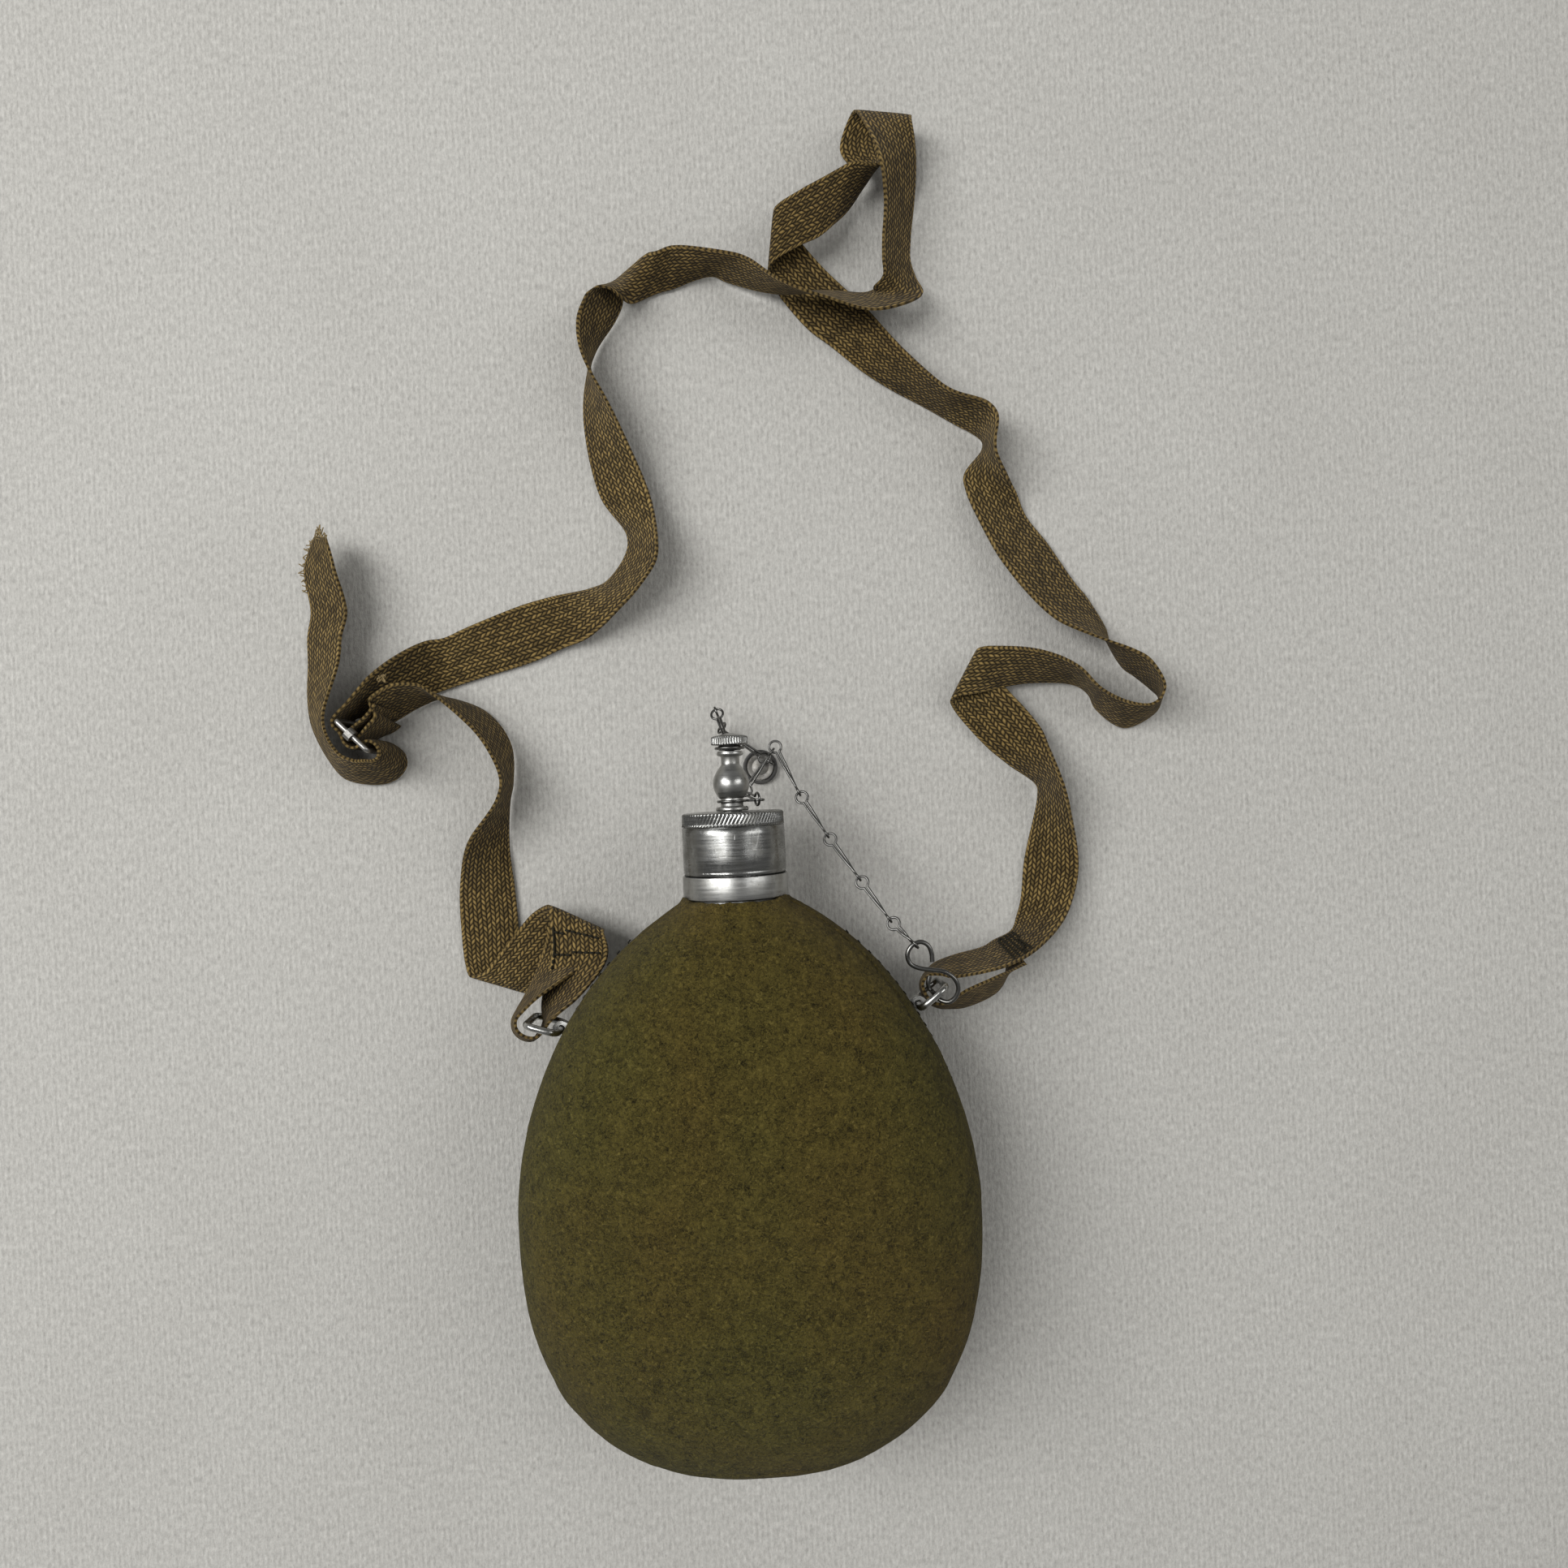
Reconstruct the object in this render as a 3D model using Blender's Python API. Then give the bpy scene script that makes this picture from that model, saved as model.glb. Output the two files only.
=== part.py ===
"""Military canteen lying on its back: flask, felt cover, screw cap with spout, chains and strap.

Frame: +Z up (front face up), +Y from the base to the cap, +X to the right.
The origin is on the flat rest area of the back, under the neck axis.
"""
import math

import bmesh
import bpy
from mathutils import Vector

for old in list(bpy.data.objects):
    bpy.data.objects.remove(old, do_unlink=True)

MM = 0.001

# Driving dimensions, in millimetres
GAP = 0.3                      # air left between two pieces that touch
AXIS_Z = 37.0                  # height of the neck axis above the rest face
WIDEST_Y = -0.3                # where the body is widest
BODY_HALF_WIDTH = 73.1
BODY_HALF_DEPTH = 37.0
REST_SINK = 1.2                # how much of the back's bulge the rest face flattens
REST_DEPTH = AXIS_Z + REST_SINK
BELOW_WIDEST = 81.0            # from the widest place down to the base
ABOVE_WIDEST = 100.2           # from the widest place to where the shoulder curve would close
BASE_FULLNESS = 2.51           # exponents of the outline's curves: 2 is an ellipse, more is squarer
SHOULDER_FULLNESS = 1.81
BASE_DEPTH_FULLNESS = 2.76
SHOULDER_DEPTH_FULLNESS = 2.2
NECK_HALF_WIDTH = 15.2         # what the shoulder curves run out to at the neck
NECK_HALF_DEPTH = 16.2
COVER_TOP_Y = 97.4
COVER_THICKNESS = 2.5
COVER_THICKNESS_AT_NECK = 1.5
THINNING_Y = 80.0              # above this the felt is stretched thinner
FLASK_WALL = 1.2
NECK_RADIUS = 13.9
NECK_TOP_Y = 104.0
COLLAR_RADIUS = 16.7
COLLAR_BOTTOM_Y = 98.1
COLLAR_SHOULDER_Y = 105.2
COLLAR_TOP_Y = 121.0
CAP_RADIUS = 16.3
CAP_WALL = 1.65                # outside the roots of the cap's thread
THREAD_DEPTH = 0.9
THREAD_GAP = 0.35
THREAD_ROOT = CAP_RADIUS - CAP_WALL - THREAD_GAP - THREAD_DEPTH
THREAD_PITCH = 3.0
THREAD_START_Y = COLLAR_SHOULDER_Y + 4.8
THREAD_TURNS = 2.0
THREAD_HALF_FOOT = 0.62
THREAD_HALF_CREST = 0.3
CAP_TOP_Y = COLLAR_TOP_Y + 4.0
CAP_ROOF = 2.5
CAP_CEILING_Y = CAP_TOP_Y - CAP_ROOF
COIN_BAND = 4.3                # height of the coined edge below the cap's top
MOUTH_RADIUS = THREAD_ROOT - 1.4
SPOUT_FOOT_RADIUS = 3.0
SPOUT_STEM_RADIUS = 3.6
SPOUT_BORE = 1.4
BALL_RADIUS = 5.8
BALL_HEIGHT = 9.6
PLUG_STEM_RADIUS = 1.55
PLUG_RADIUS = 5.8
WIRE = 0.4                     # radius of the chain wire
HOOK_WIRE = 0.72
LINK_STOCK = 1.15
EYE_RADIUS = 2.0
HAIRPIN_RADIUS = 1.45
SHANK_SPREAD = 0.55
LINK_REACH = 10.3              # shoulder link, inner bar to outer bar
LINK_HALF_HEIGHT = 8.85
LINK_Z = 31.5
TAPE_THICKNESS = 1.2
BUCKLE_WIRE = 0.92

SEGMENTS = 40


def material(name, colour, roughness, metallic):
    mat = bpy.data.materials.new(name)
    mat.use_nodes = True
    shader = mat.node_tree.nodes["Principled BSDF"]
    shader.inputs["Base Color"].default_value = (*colour, 1.0)
    shader.inputs["Roughness"].default_value = roughness
    shader.inputs["Metallic"].default_value = metallic
    return mat


FELT = ((0.063, 0.053, 0.018), 0.95, 0.0)
TAPE = ((0.105, 0.072, 0.027), 0.9, 0.0)
ALUMINIUM = ((0.55, 0.55, 0.53), 0.38, 1.0)
STEEL = ((0.5, 0.5, 0.49), 0.3, 1.0)
RUBBER = ((0.03, 0.028, 0.025), 0.7, 0.0)


def solid(name, verts, faces, look, sharp=35.0):
    """One closed body from points in millimetres."""
    mesh = bpy.data.meshes.new(name)
    mesh.from_pydata([tuple(c * MM for c in v) for v in verts], [], faces)
    bm = bmesh.new()
    bm.from_mesh(mesh)
    bmesh.ops.remove_doubles(bm, verts=bm.verts, dist=0.00001)
    bmesh.ops.recalc_face_normals(bm, faces=bm.faces)
    bm.to_mesh(mesh)
    bm.free()
    mesh.shade_smooth()
    mesh.set_sharp_from_angle(angle=math.radians(sharp))
    obj = bpy.data.objects.new(name, mesh)
    bpy.context.scene.collection.objects.link(obj)
    mesh.materials.append(material(name, *look))
    return obj


def combine(obj, other, operation):
    """Apply a Boolean with another body, which is then removed."""
    mod = obj.modifiers.new("combine", "BOOLEAN")
    mod.operation = operation
    mod.solver = "EXACT"
    mod.object = other
    graph = bpy.context.evaluated_depsgraph_get()
    result = bpy.data.meshes.new_from_object(obj.evaluated_get(graph))
    obj.modifiers.clear()
    obj.data = result
    result.shade_smooth()
    result.set_sharp_from_angle(angle=math.radians(35.0))
    bpy.data.objects.remove(other, do_unlink=True)


def turned(name, profile, look, segments=SEGMENTS, closed=True):
    """Revolve (radius, y) points about the neck axis. An open profile starts and ends on the axis."""
    verts = []
    rows = []
    for radius, y in profile:
        if radius == 0.0:
            rows.append([len(verts)] * segments)
            verts.append((0.0, y, AXIS_Z))
            continue
        row = []
        for i in range(segments):
            angle = 2.0 * math.pi * i / segments
            row.append(len(verts))
            verts.append((radius * math.cos(angle), y, AXIS_Z + radius * math.sin(angle)))
        rows.append(row)
    faces = []
    count = len(rows) if closed else len(rows) - 1
    for k in range(count):
        a = rows[k]
        b = rows[(k + 1) % len(rows)]
        for i in range(segments):
            j = (i + 1) % segments
            face = []
            for index in (a[i], a[j], b[j], b[i]):
                if index not in face:
                    face.append(index)
            if len(face) > 2:
                faces.append(face)
    return solid(name, verts, faces, look)


def tube(points, radius, sides, closed):
    """Vertices and faces of a round wire along points, with frames carried along it."""
    points = [Vector(p) for p in points]
    count = len(points)
    tangents = []
    for i in range(count):
        before = points[i - 1] if closed or i > 0 else points[i]
        after = points[(i + 1) % count] if closed or i < count - 1 else points[i]
        tangents.append((after - before).normalized())
    normal = tangents[0].orthogonal().normalized()
    frames = [normal]
    for i in range(1, count):
        turn = tangents[i - 1].rotation_difference(tangents[i])
        normal = turn @ normal
        normal = (normal - tangents[i] * normal.dot(tangents[i])).normalized()
        frames.append(normal)
    slip = 0.0
    if closed:
        last = tangents[-1].rotation_difference(tangents[0]) @ frames[-1]
        slip = math.atan2(last.cross(frames[0]).dot(tangents[0]), last.dot(frames[0]))
    verts = []
    for i in range(count):
        across = frames[i]
        up = tangents[i].cross(across)
        for k in range(sides):
            angle = 2.0 * math.pi * k / sides + slip * i / count
            verts.append(points[i] + (across * math.cos(angle) + up * math.sin(angle)) * radius)
    faces = []
    spans = count if closed else count - 1
    for i in range(spans):
        j = (i + 1) % count
        for k in range(sides):
            m = (k + 1) % sides
            faces.append((i * sides + k, i * sides + m, j * sides + m, j * sides + k))
    if not closed:
        faces.append(tuple(range(sides)))
        faces.append(tuple((count - 1) * sides + k for k in range(sides)))
    return verts, faces


def wire(name, points, radius, look, sides=6, closed=True):
    verts, faces = tube(points, radius, sides, closed)
    return solid(name, verts, faces, look, 60.0)


def spline(points, spacing):
    """A smooth run through points, about one new point every spacing."""
    points = [Vector(p) for p in points]
    out = []
    for i in range(len(points) - 1):
        p1 = points[i]
        p2 = points[i + 1]
        p0 = points[i - 1] if i > 0 else p1 * 2.0 - p2
        p3 = points[i + 2] if i + 2 < len(points) else p2 * 2.0 - p1
        steps = max(1, round((p2 - p1).length / spacing))
        for s in range(steps):
            out.append(between(p0, p1, p2, p3, s / steps))
    out.append(points[-1])
    return out


def between(p0, p1, p2, p3, t):
    """Catmull-Rom point with knots spaced by the square root of each chord."""
    k0 = 0.0
    k1 = k0 + max((p1 - p0).length, 1e-6) ** 0.5
    k2 = k1 + max((p2 - p1).length, 1e-6) ** 0.5
    k3 = k2 + max((p3 - p2).length, 1e-6) ** 0.5
    k = k1 + (k2 - k1) * t
    a1 = p0 * ((k1 - k) / (k1 - k0)) + p1 * ((k - k0) / (k1 - k0))
    a2 = p1 * ((k2 - k) / (k2 - k1)) + p2 * ((k - k1) / (k2 - k1))
    a3 = p2 * ((k3 - k) / (k3 - k2)) + p3 * ((k - k2) / (k3 - k2))
    b1 = a1 * ((k2 - k) / (k2 - k0)) + a2 * ((k - k0) / (k2 - k0))
    b2 = a2 * ((k3 - k) / (k3 - k1)) + a3 * ((k - k1) / (k3 - k1))
    return b1 * ((k2 - k) / (k2 - k1)) + b2 * ((k - k1) / (k2 - k1))


# Body: the outline seen from the front is two rounded curves meeting at the widest place
def bulge(size, t, fullness):
    return size * (1.0 - min(1.0, t) ** fullness) ** (1.0 / fullness)


def half_width(y):
    if y < WIDEST_Y:
        return bulge(BODY_HALF_WIDTH, (WIDEST_Y - y) / BELOW_WIDEST, BASE_FULLNESS)
    shoulder = bulge(BODY_HALF_WIDTH, (y - WIDEST_Y) / ABOVE_WIDEST, SHOULDER_FULLNESS)
    return (shoulder ** 4 + NECK_HALF_WIDTH ** 4) ** 0.25


def half_depth(y, depth):
    if y < WIDEST_Y:
        return bulge(depth, (WIDEST_Y - y) / BELOW_WIDEST, BASE_DEPTH_FULLNESS)
    shoulder = bulge(depth, (y - WIDEST_Y) / ABOVE_WIDEST, SHOULDER_DEPTH_FULLNESS)
    return (shoulder ** 4 + NECK_HALF_DEPTH ** 4) ** 0.25


def roundness(y):
    """Exponent of the cross-section: a little square over the body, round at the neck."""
    t = min(1.0, max(0.0, (y - 60.0) / 36.0))
    return 2.3 - 0.3 * t


def inset(curve, y, depth):
    """A curve moved in by depth square to itself, read at height y."""
    step = 0.05
    low = y - depth
    high = y + depth
    for _ in range(30):
        at = (low + high) / 2.0
        slope = (curve(at + step) - curve(at - step)) / (2.0 * step)
        lean = math.sqrt(1.0 + slope * slope)
        if at + depth * slope / lean < y:
            low = at
        else:
            high = at
    return curve(at) - depth / lean


def felt(y):
    t = min(1.0, max(0.0, (y - THINNING_Y) / (COVER_TOP_Y - THINNING_Y)))
    return COVER_THICKNESS + (COVER_THICKNESS_AT_NECK - COVER_THICKNESS) * t


BOTTOM_Y = WIDEST_Y - BELOW_WIDEST


def body_rows(bottom, top, count):
    """Heights of the cross-sections, closer together where the outline turns fast."""
    rows = []
    for i in range(count):
        t = (i + 1) / count
        rows.append(WIDEST_Y - (WIDEST_Y - bottom) * math.cos(0.5 * math.pi * t))
    rows[-1] = WIDEST_Y
    upper = count
    for i in range(upper):
        rows.append(WIDEST_Y + (top - WIDEST_Y) * (1.0 - (1.0 - (i + 1) / upper) ** 1.25))
    return rows


def section_point(y, angle, depth_in, ahead, least):
    """x and height above the axis of a skin that lies depth_in inside the cover's outer face."""
    depth = BODY_HALF_DEPTH if ahead else REST_DEPTH
    wide = max(least, inset(half_width, y, depth_in))
    deep = max(least, inset(lambda v: half_depth(v, depth), y, depth_in))
    power = 2.0 / roundness(y)
    x = wide * math.copysign(abs(math.cos(angle)) ** power, math.cos(angle))
    return x, deep * abs(math.sin(angle)) ** power


def quad(a, b, c, d):
    """Two triangles, always cut the same way, so that nested skins stay parallel."""
    return [(a, b, c), (a, c, d)]


COVER_COLUMNS = 18
BODY_SEGMENTS = 2 * COVER_COLUMNS
BODY_ROWS = 8
SHOULDER_TOP_Y = 97.6


def cover_half(name, front):
    lift = GAP / 2 if front else -GAP / 2
    verts = []
    faces = []
    grids = []
    for inner in (False, True):
        bottom = BOTTOM_Y + (COVER_THICKNESS if inner else 0.0)
        start = len(verts)
        verts.append((0.0, bottom, AXIS_Z + lift))
        rows = body_rows(bottom, COVER_TOP_Y, BODY_ROWS)
        grid = []
        for y in rows:
            depth_in = felt(y) if inner else 0.0
            row = []
            for j in range(COVER_COLUMNS + 1):
                angle = math.pi * (j if front else COVER_COLUMNS - j) / COVER_COLUMNS
                x, up = section_point(y, angle, depth_in, front, 0.0)
                z = AXIS_Z + lift + up if front else max(depth_in, AXIS_Z + lift - up)
                row.append(len(verts))
                verts.append((x, y, z))
            grid.append(row)
        for j in range(COVER_COLUMNS):
            faces.append((start, grid[0][j], grid[0][j + 1]))
        for i in range(len(grid) - 1):
            for j in range(COVER_COLUMNS):
                faces += quad(grid[i][j], grid[i + 1][j], grid[i + 1][j + 1], grid[i][j + 1])
        grids.append((start, grid))
    (pole_out, out), (pole_in, into) = grids
    for j in (0, COVER_COLUMNS):
        faces.append((pole_out, out[0][j], into[0][j], pole_in))
        for i in range(len(out) - 1):
            faces.append((out[i][j], out[i + 1][j], into[i + 1][j], into[i][j]))
    for j in range(COVER_COLUMNS):
        faces.append((out[-1][j], out[-1][j + 1], into[-1][j + 1], into[-1][j]))
    return solid(name, verts, faces, FELT, 50.0)


# Flask: one deep-drawn bottle, open at the neck
def flask():
    verts = []
    faces = []
    ends = []
    for inner in (False, True):
        extra = FLASK_WALL if inner else 0.0
        bottom = BOTTOM_Y + COVER_THICKNESS + GAP + extra
        start = len(verts)
        verts.append((0.0, bottom, AXIS_Z))
        neck = NECK_RADIUS - extra
        grid = []
        for y in body_rows(bottom, SHOULDER_TOP_Y, BODY_ROWS):
            depth_in = felt(y) + GAP + extra
            least = neck if y > WIDEST_Y else 0.0
            row = []
            for j in range(BODY_SEGMENTS):
                angle = 2.0 * math.pi * j / BODY_SEGMENTS
                ahead = math.sin(angle) >= 0.0
                x, up = section_point(y, angle, depth_in, ahead, least)
                z = AXIS_Z + up if ahead else max(depth_in, AXIS_Z - up)
                row.append(len(verts))
                verts.append((x, y, z))
            grid.append(row)
        for y in (SHOULDER_TOP_Y + 0.3, NECK_TOP_Y):
            row = []
            for j in range(BODY_SEGMENTS):
                angle = 2.0 * math.pi * j / BODY_SEGMENTS
                row.append(len(verts))
                verts.append((neck * math.cos(angle), y, AXIS_Z + neck * math.sin(angle)))
            grid.append(row)
        for j in range(BODY_SEGMENTS):
            faces.append((start, grid[0][j], grid[0][(j + 1) % BODY_SEGMENTS]))
        for i in range(len(grid) - 1):
            for j in range(BODY_SEGMENTS):
                k = (j + 1) % BODY_SEGMENTS
                faces += quad(grid[i][j], grid[i + 1][j], grid[i + 1][k], grid[i][k])
        ends.append(grid[-1])
    for j in range(BODY_SEGMENTS):
        k = (j + 1) % BODY_SEGMENTS
        faces.append((ends[0][j], ends[0][k], ends[1][k], ends[1][j]))
    return solid("flask_shell", verts, faces, ALUMINIUM)


flask()
cover_half("cover_front", True)
cover_back = cover_half("cover_back", False)


# Neck collar: a turned ring pressed over the neck, with the outside thread the cap runs on
def helix(root, crest, start_y, outward):
    """A tapered ridge wound on a cylinder, right-handed looking along the neck."""
    per_turn = 20
    steps = round(THREAD_TURNS * per_turn)
    sink = 0.35
    phase = 0.37               # of a step, so the ridge's corners miss the corners of the ring it joins
    rings = []
    for i in range(steps + 1):
        angle = 2.0 * math.pi * (i + phase) / per_turn
        y = start_y + THREAD_PITCH * i / per_turn
        ease = min(1.0, i / 4.0, (steps - i) / 4.0)
        height = (crest - root) * max(0.12, ease)
        inner = root - sink if outward else root + sink
        outer = root + height
        ring = []
        for radius, dy in ((inner, -THREAD_HALF_FOOT), (outer, -THREAD_HALF_CREST),
                           (outer, THREAD_HALF_CREST), (inner, THREAD_HALF_FOOT)):
            ring.append((radius * math.sin(angle), y + dy, AXIS_Z + radius * math.cos(angle)))
        rings.append(ring)
    verts = [v for ring in rings for v in ring]
    faces = []
    for i in range(steps):
        for k in range(4):
            m = (k + 1) % 4
            faces.append((4 * i + k, 4 * i + m, 4 * i + 4 + m, 4 * i + 4 + k))
    faces.append((0, 1, 2, 3))
    faces.append((4 * steps, 4 * steps + 1, 4 * steps + 2, 4 * steps + 3))
    return solid("thread", verts, faces, ALUMINIUM)


socket = NECK_RADIUS + GAP
collar = turned("neck_collar", [
    (socket, COLLAR_BOTTOM_Y), (COLLAR_RADIUS - 0.4, COLLAR_BOTTOM_Y),
    (COLLAR_RADIUS, COLLAR_BOTTOM_Y + 0.4), (COLLAR_RADIUS, COLLAR_SHOULDER_Y - 0.5),
    (COLLAR_RADIUS - 0.5, COLLAR_SHOULDER_Y), (THREAD_ROOT, COLLAR_SHOULDER_Y),
    (THREAD_ROOT, COLLAR_TOP_Y - 0.5), (THREAD_ROOT - 0.4, COLLAR_TOP_Y), (MOUTH_RADIUS, COLLAR_TOP_Y),
    (MOUTH_RADIUS, NECK_TOP_Y + GAP), (socket, NECK_TOP_Y + GAP),
], ALUMINIUM)
thread_crest = THREAD_ROOT + THREAD_DEPTH
combine(collar, helix(THREAD_ROOT, thread_crest, THREAD_START_Y, True), "UNION")

# Cap: a turned cup with a coined edge and the inside thread
bore = thread_crest + THREAD_GAP
cap_bottom = COLLAR_SHOULDER_Y + GAP
spout_hole = SPOUT_FOOT_RADIUS + GAP
cap = turned("cap", [
    (bore, cap_bottom), (CAP_RADIUS - 0.4, cap_bottom), (CAP_RADIUS, cap_bottom + 0.4),
    (CAP_RADIUS, CAP_TOP_Y - COIN_BAND), (CAP_RADIUS - 0.25, CAP_TOP_Y - COIN_BAND + 0.15),
    (CAP_RADIUS - 0.25, CAP_TOP_Y - 0.8), (CAP_RADIUS - 1.0, CAP_TOP_Y),
    (spout_hole, CAP_TOP_Y), (spout_hole, CAP_CEILING_Y), (bore, CAP_CEILING_Y),
], ALUMINIUM)
combine(cap, helix(bore, bore - THREAD_DEPTH, THREAD_START_Y + THREAD_PITCH / 2.0, False), "UNION")

seal_top = CAP_CEILING_Y - GAP
turned("cap_seal", [
    (MOUTH_RADIUS, COLLAR_TOP_Y + GAP), (bore - GAP, COLLAR_TOP_Y + GAP),
    (bore - GAP, seal_top), (MOUTH_RADIUS, seal_top),
], RUBBER, 30)

# Drinking spout: one turned piece clamped through the cap's top, bored through for drinking
foot_low = CAP_CEILING_Y - GAP - 1.0
foot_radius = SPOUT_FOOT_RADIUS + 1.4
boss_low = CAP_TOP_Y + GAP
boss_top = boss_low + 1.3
ball_low = boss_top + 2.8
neck_low = ball_low + BALL_HEIGHT
flange_low = neck_low + 3.9
spout_top = flange_low + 1.3
plug_bore = PLUG_STEM_RADIUS + GAP
plug_seat = neck_low - 3.0
ball = []
for share, height in ((0.79, 0.125), (0.95, 0.323), (1.0, 0.531), (0.95, 0.729), (0.79, 0.896)):
    ball.append((BALL_RADIUS * share, ball_low + BALL_HEIGHT * height))
turned("spout", [
    (SPOUT_BORE, foot_low), (foot_radius, foot_low), (foot_radius, CAP_CEILING_Y - GAP),
    (SPOUT_FOOT_RADIUS, CAP_CEILING_Y - GAP), (SPOUT_FOOT_RADIUS, boss_low), (5.0, boss_low),
    (5.2, boss_low + 0.3), (5.0, boss_top), (SPOUT_STEM_RADIUS, boss_top), (SPOUT_STEM_RADIUS, ball_low),
] + ball + [
    (3.3, neck_low), (2.9, neck_low + 1.2), (3.0, flange_low - 0.4), (4.1, flange_low),
    (4.25, flange_low + 0.3), (4.1, spout_top), (plug_bore, spout_top), (plug_bore, plug_seat),
    (SPOUT_BORE, plug_seat - 0.6),
], ALUMINIUM, 24)

# Spout plug: a coined screw that stops the spout, with a stem down its bore
plug_low = spout_top + GAP
plug_disc_low = plug_low + 1.7
plug_tip = plug_seat + 0.9
turned("spout_plug", [
    (0.0, plug_tip), (PLUG_STEM_RADIUS - 0.3, plug_tip), (PLUG_STEM_RADIUS, plug_tip + 0.4),
    (PLUG_STEM_RADIUS, plug_low), (SPOUT_STEM_RADIUS, plug_low), (SPOUT_STEM_RADIUS, plug_disc_low),
    (PLUG_RADIUS - 0.3, plug_disc_low), (PLUG_RADIUS, plug_disc_low + 0.3),
    (PLUG_RADIUS, plug_disc_low + 2.4), (PLUG_RADIUS - 0.4, plug_disc_low + 2.8),
    (3.4, plug_disc_low + 3.3), (1.7, plug_disc_low + 3.7), (0.0, plug_disc_low + 3.8),
], ALUMINIUM, 24, closed=False)


# Wire pieces
def eye_loop(a, b, side_a, side_b, radius_a, radius_b, reach_a, reach_b, points_a=12, points_b=9):
    """Centre line of a wire link: an eye hooking at a, twin shanks, and an eye hooking at b.

    Each eye's outermost wire passes its hooking point by its reach."""
    a = Vector(a)
    b = Vector(b)
    run = (b - a).normalized()
    length = (b - a).length
    side_a = Vector(side_a)
    side_a = (side_a - run * side_a.dot(run)).normalized()
    side_b = Vector(side_b)
    side_b = (side_b - run * side_b.dot(run)).normalized()
    if side_a.dot(side_b) < -0.2:
        side_b = -side_b
    out = []
    open_a = math.asin(SHANK_SPREAD / radius_a)
    for i in range(points_a):
        angle = open_a + (2.0 * math.pi - 2.0 * open_a) * i / (points_a - 1)
        along = radius_a - reach_a + radius_a * math.cos(angle)
        out.append(a + run * along + side_a * radius_a * math.sin(angle))
    from_a = 2.0 * radius_a - reach_a + 0.6
    to_b = length - (2.0 * radius_b - reach_b) - 0.6
    for side, steps in ((-1.0, (0.0, 0.5, 1.0)), (1.0, (1.0, 0.5, 0.0))):
        if side > 0.0:
            open_b = math.asin(SHANK_SPREAD / radius_b)
            for i in range(points_b):
                angle = -math.pi + open_b + (2.0 * math.pi - 2.0 * open_b) * i / (points_b - 1)
                along = length - radius_b + reach_b + radius_b * math.cos(angle)
                out.append(a + run * along + side_b * radius_b * math.sin(angle))
        for s in steps:
            across = side_a.slerp(side_b, s)
            out.append(a + run * (from_a + (to_b - from_a) * s) + across * side * SHANK_SPREAD)
    return out


def flat_side(a, b):
    """Horizontal direction at right angles to a run."""
    run = Vector(b) - Vector(a)
    return run.cross(Vector((0.0, 0.0, 1.0))).normalized()


def steep_side(a, b):
    run = (Vector(b) - Vector(a)).normalized()
    return flat_side(a, b).cross(run).normalized()


def crossing(a, b, wire_side):
    """Side of an eye whose plane is crossed square by a wire lying along wire_side."""
    run = (Vector(b) - Vector(a)).normalized()
    return run.cross(Vector(wire_side)).normalized()


# Where the shoulder links' inner bars stand, just outside the cover
PIVOT_OUT = 1.55               # from the cover's outline to the inner bar
RIGHT_LINK_Y = 59.4
LEFT_LINK_Y = 56.6


def outline_normal(y, side):
    step = 0.05
    slope = (half_width(y + step) - half_width(y - step)) / (2.0 * step)
    return Vector((side, -slope, 0.0)).normalized()


def pivot_of(y, side):
    return Vector((side * half_width(y), y, LINK_Z)) + outline_normal(y, side) * PIVOT_OUT


RIGHT_PIVOT = pivot_of(RIGHT_LINK_Y, 1.0)
LEFT_PIVOT = pivot_of(LEFT_LINK_Y, -1.0)

HOOK_REACH = 0.55
X_AXIS = (1.0, 0.0, 0.0)
Y_AXIS = (0.0, 1.0, 0.0)
HOOK_TOP = RIGHT_PIVOT + Vector((-1.076, 20.297, 12.1))
CHAIN_JOINTS = (
    HOOK_TOP, (48.5, 88.3, 39.0), (39.7, 101.4, 33.0), (30.3, 115.4, 27.0), (21.8, 129.5, 22.0),
)
for i in range(4):
    far = CHAIN_JOINTS[i + 1]
    near = CHAIN_JOINTS[i]
    reach = 0.7 if i == 0 else HOOK_REACH
    side = crossing(far, near, (0.94, 0.35, 0.0)) if i == 0 else steep_side(far, near)
    run = eye_loop(far, near, flat_side(far, near), side, EYE_RADIUS, HAIRPIN_RADIUS, HOOK_REACH, reach)
    wire("chain_link_%d" % (i + 1), run, WIRE, STEEL, 5)
LINK_5_EYE = (13.8, 146.8, 18.8)
near = CHAIN_JOINTS[4]
run = eye_loop(LINK_5_EYE, near, flat_side(LINK_5_EYE, near), steep_side(LINK_5_EYE, near),
               EYE_RADIUS, HAIRPIN_RADIUS, HOOK_REACH, HOOK_REACH)
wire("chain_link_5", run, WIRE, STEEL, 5)
TURN_BACK = (13.6, 144.5, 19.0)
LINK_6_EYE = (3.1, 130.4, 19.0)
run = eye_loop(LINK_6_EYE, TURN_BACK, flat_side(LINK_6_EYE, TURN_BACK),
               steep_side(LINK_6_EYE, TURN_BACK), EYE_RADIUS, HAIRPIN_RADIUS, HOOK_REACH, HOOK_REACH)
wire("chain_link_6", run, WIRE, STEEL, 5)
UNDER_BALL = (2.1, 131.5, 18.45)
CAP_RING_Y = boss_top + 1.7
CAP_RING_TAIL = (8.5, CAP_RING_Y, 33.7)
run = eye_loop(CAP_RING_TAIL, UNDER_BALL, Y_AXIS, X_AXIS,
               EYE_RADIUS, HAIRPIN_RADIUS, HOOK_REACH, HOOK_REACH)
wire("chain_link_7", run, WIRE, STEEL, 5)

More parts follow.
